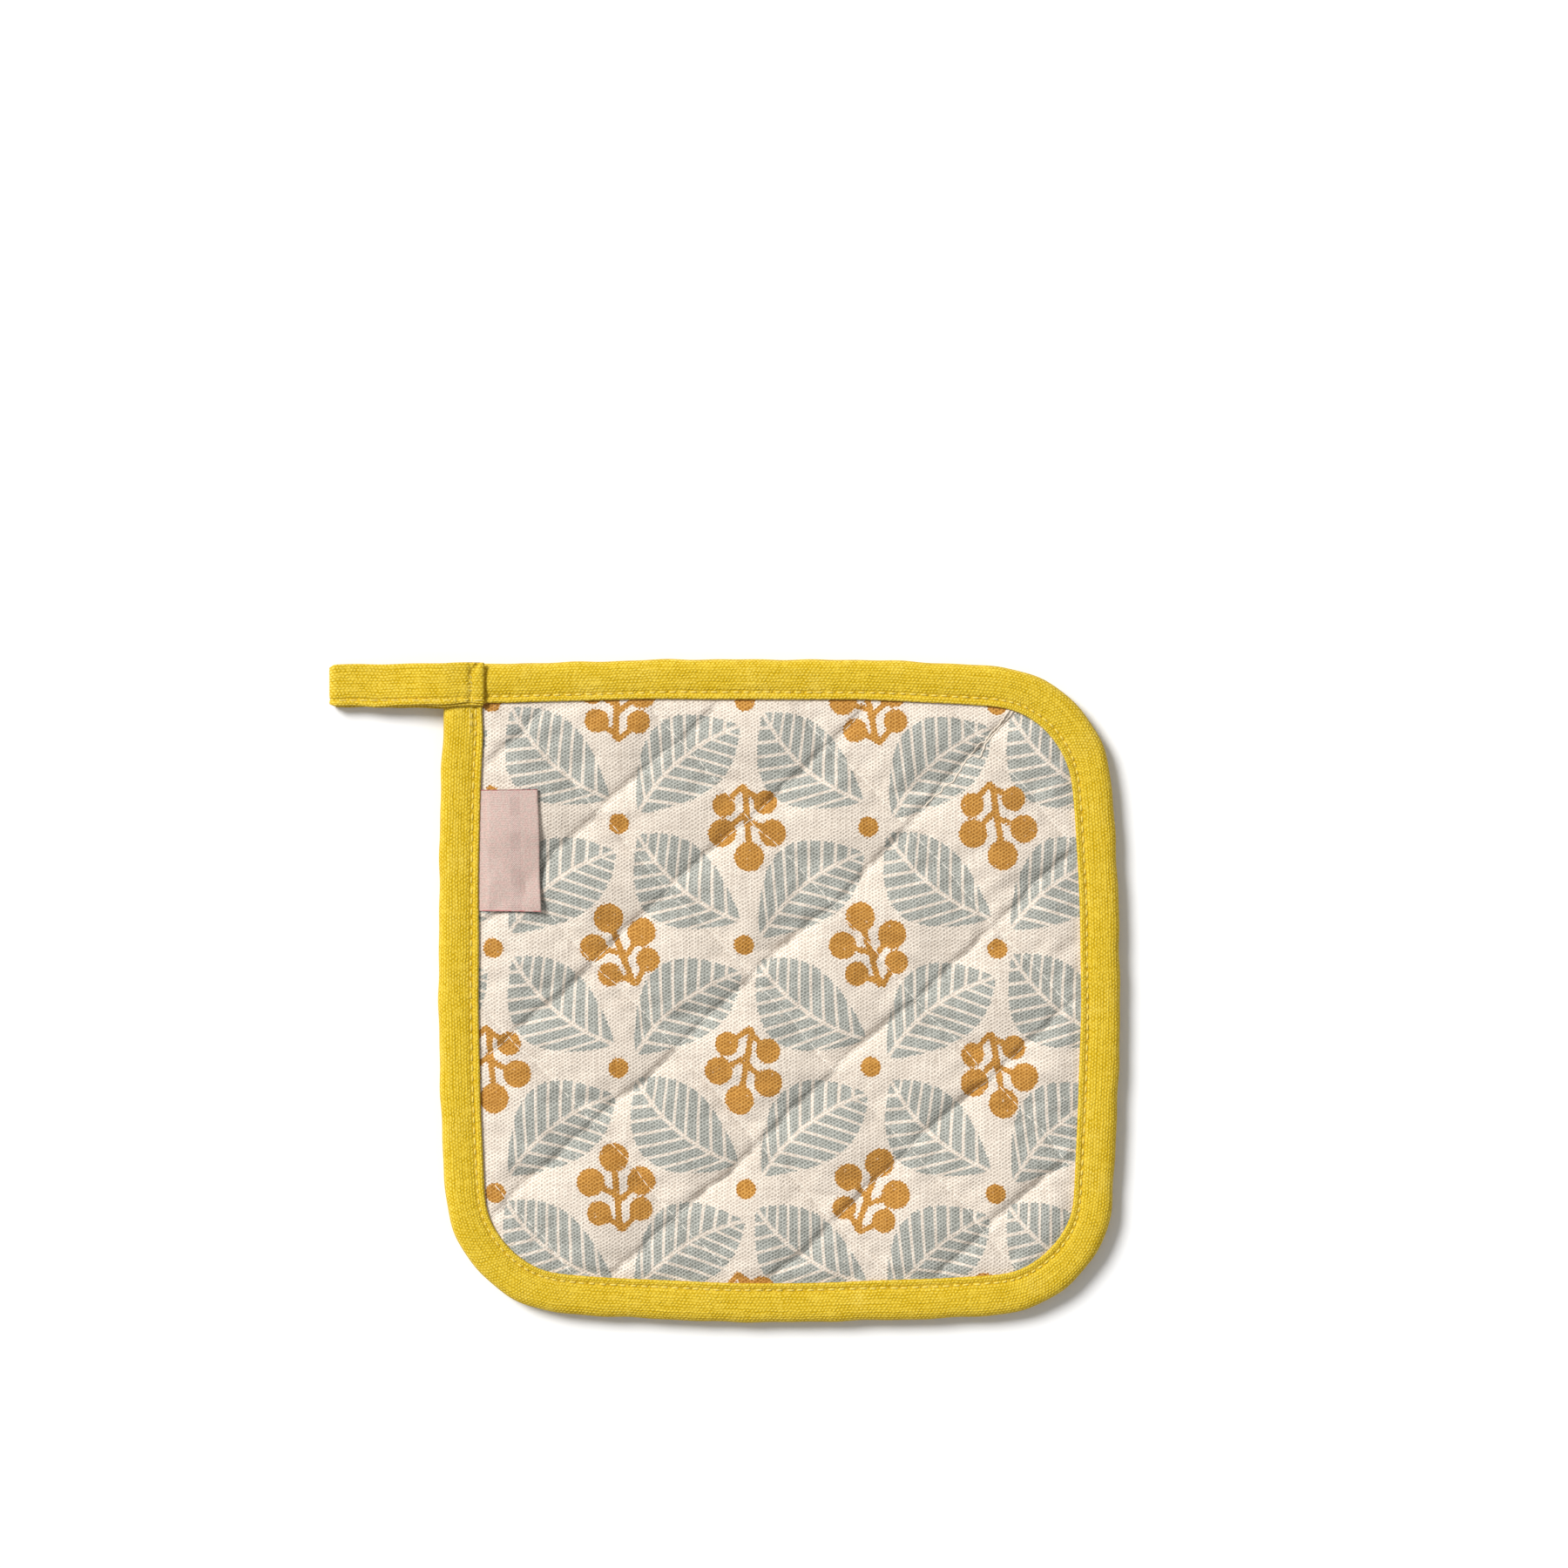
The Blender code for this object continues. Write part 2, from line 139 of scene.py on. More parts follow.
# Colours, as linear light
CREAM = (0.915, 0.812, 0.694)
# Gap colours of the weave, here and below: painted shade between the yarns
CREAM_GAP_SHADE = (0.555, 0.47, 0.385)
SAGE = (0.505, 0.51, 0.46)
SAGE_GAP_SHADE = (0.225, 0.228, 0.198)
OCHRE = (0.625, 0.315, 0.070)
OCHRE_GAP_SHADE = (0.335, 0.135, 0.014)
YELLOW = (0.89, 0.645, 0.070)
YELLOW_GAP_SHADE = (0.53, 0.33, 0.001)
YELLOW_WORN = (0.90, 0.68, 0.128)
# Painted shade for the groove along the topstitching
YELLOW_SEAM_SHADE = (0.64, 0.38, 0.008)
THREAD_CREAM = (0.93, 0.87, 0.77)
THREAD_LOOSE = (0.80, 0.70, 0.58)
THREAD_YELLOW = (0.92, 0.72, 0.14)
PINK = (0.575, 0.400, 0.352)
PINK_GREY = (0.535, 0.415, 0.360)
RED = (0.50, 0.12, 0.13)
SEED = (0.16, 0.09, 0.05)
# Painted shade inside the needle holes
NEEDLE_HOLE_SHADE = (0.24, 0.13, 0.004)
WADDING = (0.86, 0.84, 0.78)

rng = np.random.default_rng(7)


def waver(s, length, seed, waves=((3, 1.0), (7, 0.6), (13, 0.35), (23, 0.2))):
    """Hand-made unevenness: a sum of sines of s, each with whole waves in length and a seeded phase."""
    phases = np.random.default_rng(seed).uniform(0, 2 * np.pi, len(waves))
    return sum(a * np.sin(2 * np.pi * n * s / length + p) for (n, a), p in zip(waves, phases))


def bell(value, middle, width):
    """exp(-((value - middle) / width)^2)."""
    return np.exp(-(((value - middle) / width) ** 2))


def unit(vectors):
    """The vectors, each made one long."""
    return vectors / np.linalg.norm(vectors, axis=-1, keepdims=True)


def distances(points):
    """How far each point of a polyline is from its start, along it."""
    return np.concatenate([[0], np.cumsum(np.linalg.norm(np.diff(points, axis=0), axis=1))])


def normal_weights(reach, width):
    """Weights exp(-(k / width)^2 / 2) for k from -reach to reach, with a sum of one."""
    weights = np.exp(-((np.arange(-reach, reach + 1) / width) ** 2) / 2)
    return weights / weights.sum()


def bow(share, square):
    """How far a side bulges at this share of its half length: B (1 - s^2), less of it near the square
    corner."""
    return SIDE_BOW * (1 - np.where(square, 1 - SQUARE_SHARE, 1.0) * np.clip(share, -1, 1) ** 2)


def edge_depth(x, y):
    """How far inside the pad's outline a point lies: a box with bowed sides, three round corners and a
    square one."""
    square = (x < 0) & (y > 0)
    x = x / (1 + bow(y / HALF_HEIGHT, square) / HALF_WIDTH)
    y = y / (1 + bow(x / HALF_WIDTH, square) / HALF_HEIGHT)
    radius = np.where(square, 0.0, CORNER_RADIUS)
    qx = np.abs(x) - HALF_WIDTH + radius
    qy = np.abs(y) - HALF_HEIGHT + radius
    outside = np.hypot(np.maximum(qx, 0), np.maximum(qy, 0))
    return radius - outside - np.minimum(np.maximum(qx, qy), 0)


def skin(name, grid, uv, closed_u=False, closed_v=False, cap=False, extra=None):
    """A mesh over grid[i, j] = (x, y, z), with uv[i, j] in metres. Where it closes, uv has a row or column
    more."""
    rows, columns = grid.shape[:2]
    i = np.arange(rows if closed_u else rows - 1)
    j = np.arange(columns if closed_v else columns - 1)
    i, j = (a.ravel() for a in np.meshgrid(i, j, indexing="ij"))
    corners = [(i, j), (i + 1, j), (i + 1, j + 1), (i, j + 1)]
    quads = np.stack([(a % rows) * columns + b % columns for a, b in corners], 1)
    corner_uv = np.stack([uv[a, b] for a, b in corners], 1).reshape(-1, 2)
    starts = np.arange(len(quads)) * 4
    loops = quads.ravel()
    if cap:
        first = np.arange(columns)[::-1]
        last = (rows - 1) * columns + np.arange(columns)
        starts = np.concatenate([starts, [len(loops), len(loops) + columns]])
        loops = np.concatenate([loops, first, last])
        corner_uv = np.concatenate([corner_uv, uv[0, first], uv[-1, :columns]])
    return make_piece(name, grid.reshape(-1, 3), loops, starts, corner_uv, extra)


def fill(data, key, values, kind=np.float32):
    """Writes a whole array into a mesh's data."""
    data.foreach_set(key, np.ascontiguousarray(values, kind).ravel())


def placed(name, data):
    """A new object of this data, in the scene."""
    thing = bpy.data.objects.new(name, data)
    bpy.context.scene.collection.objects.link(thing)
    return thing


def make_piece(name, points, loops, starts, uv=None, extra=None):
    """An object of these points and faces, smooth and facing outwards, with its UV map and point
    attributes."""
    mesh = bpy.data.meshes.new(name)
    mesh.vertices.add(len(points))
    fill(mesh.vertices, "co", points)
    mesh.loops.add(len(loops))
    fill(mesh.loops, "vertex_index", loops, np.int32)
    mesh.polygons.add(len(starts))
    fill(mesh.polygons, "loop_start", starts, np.int32)
    mesh.update(calc_edges=True)
    mesh.validate()
    if uv is not None:
        fill(mesh.uv_layers.new(name="cloth").data, "uv", uv)
    for key, values in (extra or {}).items():
        fill(mesh.attributes.new(key, "FLOAT", "POINT").data, "value", values)
    mesh.shade_smooth()
    if signed_volume(mesh) < 0:
        mesh.flip_normals()
    return placed(name, mesh)


def signed_volume(mesh):
    """Volume inside the mesh, the sum over its triangles of a . (b x c) / 6: below zero if the faces point
    in."""
    mesh.calc_loop_triangles()
    triangles = np.empty(len(mesh.loop_triangles) * 3, np.int32)
    mesh.loop_triangles.foreach_get("vertices", triangles)
    points = np.empty(len(mesh.vertices) * 3, np.float32)
    mesh.vertices.foreach_get("co", points)
    a, b, c = np.moveaxis(points.reshape(-1, 3)[triangles.reshape(-1, 3)].astype(float), 1, 0)
    return float((a * np.cross(b, c)).sum()) / 6


# Quilted covers


def spaced(lines, step):
    """Places from the first line to the last, about step apart, with every line among them; and which are
    lines."""
    runs = [
        np.linspace(first, last, max(2, round((last - first) / step)), endpoint=False)
        for first, last in zip(lines, lines[1:])
    ]
    places = np.concatenate([*runs, [lines[-1]]])
    on_line = np.isin(places, np.array(lines))
    return places, on_line


def quilt_to_pad(along, across):
    """Turns quilting coordinates into pad coordinates."""
    cos, sin = math.cos(QUILT_TURN), math.sin(QUILT_TURN)
    return along * cos - across * sin, along * sin + across * cos


def pad_to_quilt(x, y):
    """Turns pad coordinates into quilting coordinates."""
    cos, sin = math.cos(QUILT_TURN), math.sin(QUILT_TURN)
    return x * cos + y * sin, y * cos - x * sin


def drawn(along, across):
    """Where a place of the even grid lies in quilting coordinates: sewn lines waver, and one of them bends
    off towards the corner where the loose thread lies."""
    bend = np.interp(along, (0.034, 0.060, 0.080, 0.107), (0.0, 0.0019, 0.0034, 0.0056))
    bend = bend * bell(across, LOOSE_LINE, 0.014)
    sideways = QUILT_WAVER * waver(across, QUILT_SPAN, 11)
    return along + sideways, across + QUILT_WAVER * waver(along, QUILT_SPAN, 12) + bend


def whole_cells(inside):
    """Numbers of the grid's cells that have all four corners inside."""
    return np.argwhere(inside[:-1, :-1] & inside[1:, :-1] & inside[1:, 1:] & inside[:-1, 1:])


class Cloth:
    """A quilted cover: a grid in line with the stitch lines, cut to the pad, and the height of its
    points."""

    def __init__(self, step):
        self.along, self.line_along = spaced(LINES_ALONG, step)
        self.across, self.line_across = spaced(LINES_ACROSS, step)
        a, c = np.meshgrid(self.along, self.across, indexing="ij")
        self.x, self.y = quilt_to_pad(*drawn(a, c))
        self.depth = edge_depth(self.x, self.y)
        self.sewn = self.line_along[:, None] | self.line_across[None, :]
        self.z = np.zeros_like(self.x)
        self.cells = whole_cells(self.depth > COVER_DEPTH)

    def quads(self):
        """Corner numbers of the quads inside the pad, and which grid points they use."""
        i, j = self.cells.T
        columns = self.x.shape[1]
        corner = i * columns + j
        quads = np.stack([corner, corner + columns, corner + columns + 1, corner + 1], 1)
        used, quads = np.unique(quads, return_inverse=True)
        return used, quads.reshape(-1, 4)

    def height(self, x, y):
        """Height at points of the pad, read between the grid's points along both sets of lines. The place
        on the even grid is found in four rounds, each less what drawn() still misses by."""
        goal = pad_to_quilt(x, y)
        along, across = goal
        for _ in range(4):
            now = drawn(along, across)
            along, across = along + goal[0] - now[0], across + goal[1] - now[1]
        i = np.clip(np.interp(along, self.along, np.arange(len(self.along))), 0, len(self.along) - 1.001)
        j = np.clip(np.interp(across, self.across, np.arange(len(self.across))), 0, len(self.across) - 1.001)
        i0, j0 = i.astype(int), j.astype(int)
        s, t = i - i0, j - j0
        z = self.z
        low = z[i0, j0] * (1 - s) + z[i0 + 1, j0] * s
        high = z[i0, j0 + 1] * (1 - s) + z[i0 + 1, j0 + 1] * s
        return low * (1 - t) + high * t


def pillows(cloth, rise):
    """Plain quilted heights: rise (1 - u^4) (1 - v^4), with u and v from -1 to 1 across each diamond, eased
    down towards the binding."""

    def share(places, lines):
        cell = np.clip(np.searchsorted(lines, places, side="right") - 1, 0, len(lines) - 2)
        low, high = np.array(lines)[cell], np.array(lines)[cell + 1]
        return 1 - np.abs(2 * (places - low) / (high - low) - 1) ** 4

    bulge = share(cloth.along, LINES_ALONG)[:, None] * share(cloth.across, LINES_ACROSS)[None, :]
    eased = np.clip((cloth.depth - BINDING_WIDTH) / 0.010, 0, 1)
    return rise * bulge * (1 - (1 - eased) ** 2)


def settle(cloth, spare, pressure, seed):
    """Cloth simulation of one cover, ten times life size. The cut cloth is longer along X and Y than the
    place that it fills, by the shares in spare. Its sewn points are drawn in to their places over the first
    half of the steps, so that it puckers there, and pressure stands for the wadding. It gives which points
    moved, and to where."""
    scale = 10.0
    used, quads = cloth.quads()
    x, y = cloth.x.ravel()[used], cloth.y.ravel()[used]
    more_x = spare[0] * (x + 0.004 * waver(y + 0.3 * x, 0.24, seed, ((3, 1.0), (4, 0.8))))
    more_y = spare[1] * (y + 0.005 * waver(x + 0.8 * y, 0.24, seed + 1, ((3, 1.0), (4, 0.8), (5, 0.5))))
    cut = np.stack([x + more_x, y + more_y, 0.3 * cloth.z.ravel()[used]], 1) * scale
    sewn = np.stack([x, y, 0 * x], 1) * scale
    mesh = bpy.data.meshes.new("cover_draft")
    mesh.from_pydata(cut.tolist(), [], quads.tolist())
    draft = placed("cover_draft", mesh)
    draft.shape_key_add(name="cut")
    drawn_in = draft.shape_key_add(name="drawn_in")
    fill(drawn_in.data, "co", sewn)
    for value, step in ((0.0, 1), (1.0, SIMULATION_STEPS // 2)):
        drawn_in.value = value
        drawn_in.keyframe_insert("value", frame=step)
    held = cloth.sewn.ravel()[used] | (cloth.depth.ravel()[used] < BINDING_WIDTH + 0.0002)
    group = draft.vertex_groups.new(name="held")
    group.add(np.flatnonzero(held).tolist(), 1.0, "REPLACE")
    modifier = draft.modifiers.new("cloth", "CLOTH")
    modifier.point_cache.frame_start = 1
    modifier.point_cache.frame_end = SIMULATION_STEPS
    modifier.collision_settings.use_collision = False
    settings = modifier.settings
    settings.vertex_group_mass = "held"
    settings.quality = 4
    settings.mass = 0.001
    settings.air_damping = 2.0
    settings.tension_stiffness = 25
    settings.compression_stiffness = 25
    settings.shear_stiffness = 12
    settings.bending_stiffness = 90
    settings.use_pressure = True
    settings.uniform_pressure_force = pressure
    settings.effector_weights.gravity = 0.0
    scene = bpy.context.scene
    for step in range(1, SIMULATION_STEPS + 1):
        scene.frame_set(step)
    done = draft.evaluated_get(bpy.context.evaluated_depsgraph_get()).to_mesh()
    moved = np.empty(len(used) * 3, np.float32)
    done.vertices.foreach_get("co", moved)
    scene.frame_set(1)
    action = mesh.shape_keys.animation_data.action
    bpy.data.objects.remove(draft)
    bpy.data.meshes.remove(mesh)
    bpy.data.actions.remove(action)
    return used, moved.reshape(-1, 3).astype(float) / scale


def softened(field, rounds):
    """The field after each point is mixed with its neighbours, by the weights 1 2 1 along both sides."""
    for _ in range(rounds):
        wide = np.pad(field, 1, mode="edge")
        wide = (wide[:-2] + 2 * wide[1:-1] + wide[2:]) / 4
        field = (wide[:, :-2] + 2 * wide[:, 1:-1] + wide[:, 2:]) / 4
    return field


def quilt(cloth, rise, spare, pressure, seed):
    """Fills the cloth's x, y and z: the simulated cover, kept within the limits of the plain pillows."""
    cloth.z = pillows(cloth, rise)
    used, moved = settle(cloth, spare, pressure, seed)
    loose = ~cloth.sewn & (cloth.depth > BINDING_WIDTH)
    limits = (SIDEWAYS_LIMIT, SIDEWAYS_LIMIT, RISE_LIMIT)
    for held, new, limit in zip((cloth.x, cloth.y, cloth.z), moved.T, limits):
        change = np.zeros(held.size)
        change[used] = np.clip(new - held.ravel()[used], -limit, limit)
        change = change.reshape(held.shape)
        held += np.where(loose, softened(change, 1), change)


def past_lip(cloth):
    """0 under the binding and 1 from 2 mm inside its lip."""
    return np.clip((cloth.depth - BINDING_WIDTH) / 0.002, 0, 1)


def from_lines(places, lines):
    """Distance of each place from the nearest line."""
    return np.abs(places[:, :, None] - np.array(lines)).min(2)


def puckers(cloth, creases, seed):
    """How far creases pull the cloth down. They run left from the rising stitch lines, where the cloth is
    slack: the given ones, and faint ones at random. Each is a valley exp(-|d| / r), d being the height over
    its slightly bent line, with r 3 mm above it and 1.6 mm below it, faded out at both ends. Above each
    stitch line the cloth also rolls up, by t exp(1 - t) at t times 1.6 mm past it."""
    draw = np.random.default_rng(seed)
    found = list(creases)
    for line in LINES_ACROSS[1:-1]:
        place = -0.12 + draw.uniform(0, 0.01)
        while place < 0.12:
            px, py = quilt_to_pad(place, line + 0.0004)
            spans = ((0.006, 0.014), (-0.0015, 0.001), (0.1, 0.45))
            found.append((px, py, *(draw.uniform(*span) for span in spans)))
            place += draw.uniform(0.008, 0.022)
    total = np.zeros_like(cloth.x)
    for px, py, length, fall, deep in found:
        run = (px - cloth.x) / length
        off = cloth.y - py - fall * run + 0.0008 * np.sin(np.pi * np.clip(run, 0, 1))
        fade = np.clip(run / 0.15 + 0.5, 0, 1) * np.clip((1 - run) / 0.5, 0, 1) ** 1.2
        total += deep * fade * np.exp(-np.hypot(off, 0.0003) / np.where(off > 0, 0.0030, 0.0016))
    along = np.meshgrid(cloth.along, cloth.across, indexing="ij")[0]
    clear = np.clip(from_lines(along, LINES_ALONG) / 0.0025, 0, 1)
    past = cloth.across[None, :] - np.array(LINES_ACROSS)[:, None]
    past = np.where(past < 0, 9.0, past).min(0) / 0.0016
    roll = 0.6 * past * np.exp(1 - past)
    total = total * clear - roll[None, :] * (0.8 + 0.25 * waver(along, QUILT_SPAN, seed))
    return 0.001 * total * past_lip(cloth)


def stitch_dips(cloth):
    """How far the thread pulls the cloth down: a groove along each line, deepest at the needle holes."""
    along, across = np.meshgrid(cloth.along, cloth.across, indexing="ij")

    def pull(off, run):
        return bell(off, 0, 0.0009) * (0.75 + 0.25 * np.cos(2 * np.pi * run / QUILT_STITCH))

    falling = pull(from_lines(along, LINES_ALONG), across)
    rising = pull(from_lines(across, LINES_ACROSS), along)
    return STITCH_DIP * past_lip(cloth) * np.maximum(falling, rising)


def shell(name, cloth, inner, extra):
    """A closed cover: the cloth's surface and the inner one under it, joined by a wall round the rim."""
    used, quads = cloth.quads()
    count = len(used)
    outer = np.stack([cloth.x.ravel()[used] + PAD_X, cloth.y.ravel()[used], cloth.z.ravel()[used]], 1)
    under = outer.copy()
    under[:, 2] = inner.ravel()[used]
    sides = np.concatenate([quads[:, [k, (k + 1) % 4]] for k in range(4)])
    code = sides[:, 0].astype(np.int64) * count + sides[:, 1]
    rim = sides[~np.isin(code, sides[:, 1].astype(np.int64) * count + sides[:, 0])]
    wall = np.stack([rim[:, 1], rim[:, 0], rim[:, 0] + count, rim[:, 1] + count], 1)
    faces = np.concatenate([quads, quads[:, ::-1] + count, wall])
    starts = np.arange(len(faces)) * 4
    points = np.concatenate([outer, under])
    extra = {key: np.tile(values.ravel()[used], 2) for key, values in extra.items()}
    return make_piece(name, points, faces.ravel(), starts, extra=extra)


def wadding_piece(front, back):
    """The batting: blocks of the front cover's underside and the back cover's inside, by their inmost
    points."""
    block = 4
    gap = COVER_THICKNESS + 0.0002
    rows, columns = (n // block * block for n in front.x.shape)

    def inmost(field, pick):
        parts = field[:rows, :columns].reshape(rows // block, block, columns // block, block)
        return pick(parts, axis=(1, 3))

    coarse = Cloth.__new__(Cloth)
    coarse.x = inmost(front.x, np.mean)
    coarse.y = inmost(front.y, np.mean)
    coarse.z = inmost(front.z, np.min) - gap
    low = inmost(back.z, np.max) + gap
    coarse.z = np.maximum(coarse.z, low + 0.0004)
    coarse.cells = whole_cells(inmost(front.depth, np.min) > COVER_DEPTH + 0.002)
    return shell("wadding_fill", coarse, low, {})


# The print: leaves, stems and berries in straight rows, each as a signed distance to its edge


def near_line(p, q, start, end):
    """Distance from the line between two points."""
    (a, b), (c, d) = start, end
    share = np.clip(((p - a) * (c - a) + (q - b) * (d - b)) / ((c - a) ** 2 + (d - b) ** 2), 0, 1)
    return np.hypot(p - a - share * (c - a), q - b - share * (d - b))


def print_fields(x, y):
    """Distances for the print, in millimetres over the flat cloth: leaf edge, rib, vein and ochre edge.

    A leaf is the pointed oval |c| = W (1 - (a / L)^2), with a along it and c across it. Its rib is c, and its
    side veins are the lines where (a - 0.75 |c|) / pitch is a whole number. A twig is a row of straight lines
    with circles for its berries, in each gap that the leaves' sides leave open. A dot lies where tips meet.
    """
    x, y = x * 1000, y * 1000
    leaf = np.full(x.shape, 99.0)
    rib = np.full(x.shape, 9.0)
    vein = np.zeros(x.shape)
    ochre = np.full(x.shape, 99.0)
    for row in range(-4, 5):
        for column in range(-4, 5):
            turn = math.radians((38 if (row + column) % 2 else 142) + rng.uniform(-5, 5))
            cx = column * PRINT_PITCH[0] + PRINT_START[0] + rng.uniform(-0.8, 0.8)
            cy = row * PRINT_PITCH[1] + PRINT_START[1] + rng.uniform(-0.8, 0.8)
            along = (x - cx) * math.cos(turn) + (y - cy) * math.sin(turn)
            across = (y - cy) * math.cos(turn) - (x - cx) * math.sin(turn) + 0.010 * along**2 - 1.0
            edge = np.abs(across) - LEAF_WIDTH * (1 - (along / LEAF_LENGTH) ** 2) * (1 + 0.012 * along)
            edge = np.where(np.abs(along) > LEAF_LENGTH, 9.0, edge * 0.75)
            nearer = edge < leaf
            leaf = np.where(nearer, edge, leaf)
            rib = np.where(nearer, across, rib)
            vein = np.where(nearer, (along - 0.75 * np.abs(across)) / VEIN_PITCH, vein)
            gx, gy = x - cx - PRINT_PITCH[0] / 2, y - cy - PRINT_PITCH[1] / 2
            if (row + column) % 2:
                ochre = np.minimum(ochre, np.hypot(gx, gy) - DOT_SIZE)
                continue
            twig = math.radians(90 + rng.uniform(-25, 25) + (180 if row % 2 else 0))
            p, q = gx * math.cos(twig) + gy * math.sin(twig), gy * math.cos(twig) - gx * math.sin(twig)
            ochre = np.minimum(ochre, near_line(p, q, (-11.0, 0.8), (7.0, 0.0)) - 0.85)
            for bp, bq, size in BERRIES:
                ochre = np.minimum(ochre, near_line(p, q, (bp - 5.0, 0.0), (bp, bq)) - 0.75)
                ochre = np.minimum(ochre, np.hypot(p - bp, q - bq) - size)
    return {"leaf": leaf, "rib": rib, "vein": vein, "ochre": ochre}


# Binding


def lean(s, total):
    """How far the inward direction leans along the edge: 1 at the square corner, falling to 0 at
    MITRE_REACH."""
    return np.clip(1 - s / MITRE_REACH, 0, 1) - np.clip(1 - (total - s) / MITRE_REACH, 0, 1)


def pad_path(step):
    """The pad's outer edge from the square corner all the way round, in pad coordinates, with the direction
    in which a profile is carried inwards: square to the edge, and fanned to the mitre near the square
    corner."""
    w, h, r = HALF_WIDTH, HALF_HEIGHT, CORNER_RADIUS
    turns = [(-w + r, -h + r, 180), (w - r, -h + r, 270), (w - r, h - r, 0)]
    bends = [
        np.stack([cx + r * np.cos(a), cy + r * np.sin(a)], 1)
        for cx, cy, first in turns
        for a in [np.radians(np.linspace(first, first + 90, 60))]
    ]
    points = np.concatenate([[(-w, h)], *bends, [(-w, h)]])
    points = resample(points, step / 4)
    square = (points[:, 0] < 0) & (points[:, 1] > 0)
    wide = 1 + bow(points[:, 1] / h, square) / w
    tall = 1 + bow(points[:, 0] / w, square) / h
    points = resample(points * np.stack([wide, tall], 1), step / 4)
    reach = round(0.0075 / (step / 4))
    kernel = normal_weights(reach, 0.0045 / (step / 4))
    before, after = 2 * points[0] - points[reach:0:-1], 2 * points[-1] - points[-2 : -reach - 2 : -1]
    padded = np.concatenate([before, points, after])
    points = np.stack([np.convolve(padded[:, k], kernel, "valid") for k in (0, 1)], 1)
    points = resample(points, step)
    tangent = unit(np.gradient(points, axis=0))
    inward = np.stack([-tangent[:, 1], tangent[:, 0]], 1)
    s = np.arange(len(points)) * step
    total = s[-1]
    inward = inward + tangent * lean(s, total)[:, None]
    free = np.clip(np.minimum(s, total - s) / 0.02, 0, 1)
    points = points - inward * (0.00022 * waver(s, total, 5) * free)[:, None]
    return points, inward, s, total


def resample(points, step):
    """The same polyline with its points an even step apart, the last one kept."""
    run = distances(points)
    count = max(2, round(run[-1] / step))
    places = np.linspace(0, run[-1], count + 1)
    return np.stack([np.interp(places, run, points[:, k]) for k in (0, 1)], 1)


def smooth_curve(knots, count):
    """count points along a Catmull-Rom curve through the knots."""
    knots = np.array(knots, float)
    padded = np.concatenate([[2 * knots[0] - knots[1]], knots, [2 * knots[-1] - knots[-2]]])
    t = np.linspace(0, len(knots) - 1, count)
    i = np.minimum(t.astype(int), len(knots) - 2)
    t = (t - i)[:, None]
    a, b, c, d = (padded[i + k] for k in range(4))
    return 0.5 * (2 * b + (c - a) * t + (2 * a - 5 * b + 4 * c - d) * t**2 + (3 * b - a - 3 * c + d) * t**3)


def ring_run(section):
    """Distances round a closed section, from its first point to the same point again."""
    return distances(np.concatenate([section, section[:1]]))


def binding_piece():
    """The folded tape carried round the edge: a C whose two lips lie on the covers, dipped along the
    topstitching."""
    points, inward, s, total = pad_path(TAPE_STEP)
    points, inward, s = points[:-1], inward[:-1], s[:-1]
    # Depth inside the edge and height over the middle plane, in millimetres, from the lip to the outer fold
    knots = [
        (11.0, 1.75), (11.55, 1.78), (11.8, 2.05), (11.6, 2.42), (11.0, 2.55), (10.4, 2.48), (9.7, 2.32),
        (9.0, 2.44), (7.8, 2.58), (6.2, 2.66), (4.6, 2.68), (3.2, 2.60), (2.0, 2.36), (1.0, 1.85),
        (0.35, 1.1), (0.0, 0.0),
    ]
    half = smooth_curve(knots, 34) / 1000
    inner = smooth_curve([(1.6, 0.0), (1.75, 1.3), (2.6, 1.72), (6.0, 1.74), (11.0, 1.75)], 9)[1:-1] / 1000
    mirrored = half[-2::-1] * (1, -1)
    profile = np.concatenate([half, mirrored, inner[::-1] * (1, -1), inner])
    inset = profile[:, 0]
    outer = np.zeros(len(profile), bool)
    outer[: 2 * len(half) - 1] = True
    side = np.sign(profile[:, 1] + 1e-9)
    groove = bell(inset, STITCH_DEPTH, 0.00075) * outer
    share = np.clip(inset / BINDING_WIDTH, 0, 1)
    crown = 4 * share * (1 - share) * outer
    rim = outer * (1 - np.clip(inset / 0.004, 0, 1))
    sewn = s + lean(s, total) * STITCH_DEPTH
    holes = 0.5 + 0.5 * np.cos(2 * np.pi * sewn / TOP_STITCH)
    lip_waver = 0.00018 * waver(s, total, 31) + 0.00007 * (1 - holes)
    rim_waver = 0.00010 * waver(s, total, 33, ((31, 1), (53, 0.8)))
    crown_waver = 0.00006 * waver(s, total, 35, ((9, 1), (17, 0.8), (29, 0.6), (61, 0.35)))
    depth = inset + bell(inset, LIP, 0.0022) * lip_waver[:, None] + rim * rim_waver[:, None]
    height = profile[:, 1] - side * groove * (0.00014 + 0.00012 * holes)[:, None]
    height = height + side * crown * crown_waver[:, None]
    x = points[:, 0, None] + inward[:, 0, None] * depth + PAD_X
    y = points[:, 1, None] + inward[:, 1, None] * depth
    grid = np.stack([x, y, MIDDLE + height], 2)
    ends = np.append(s, total)
    uv = np.stack(np.meshgrid(ends, ring_run(profile), indexing="ij"), 2)
    uv[:, :, 0] += lean(ends, total)[:, None] * np.append(inset, inset[0])
    worn = (bell(inset, LIP, 0.0005) + bell(inset, 0, 0.0008)) * outer
    seam = np.where(outer, (inset - STITCH_DEPTH) * 1000, 9.0)
    extra = {"worn": np.tile(worn, (len(s), 1)), "seam": np.tile(seam, (len(s), 1))}
    return skin("binding_tape", grid, uv, True, True, extra=extra), (points, inward, s, total)


# Threads


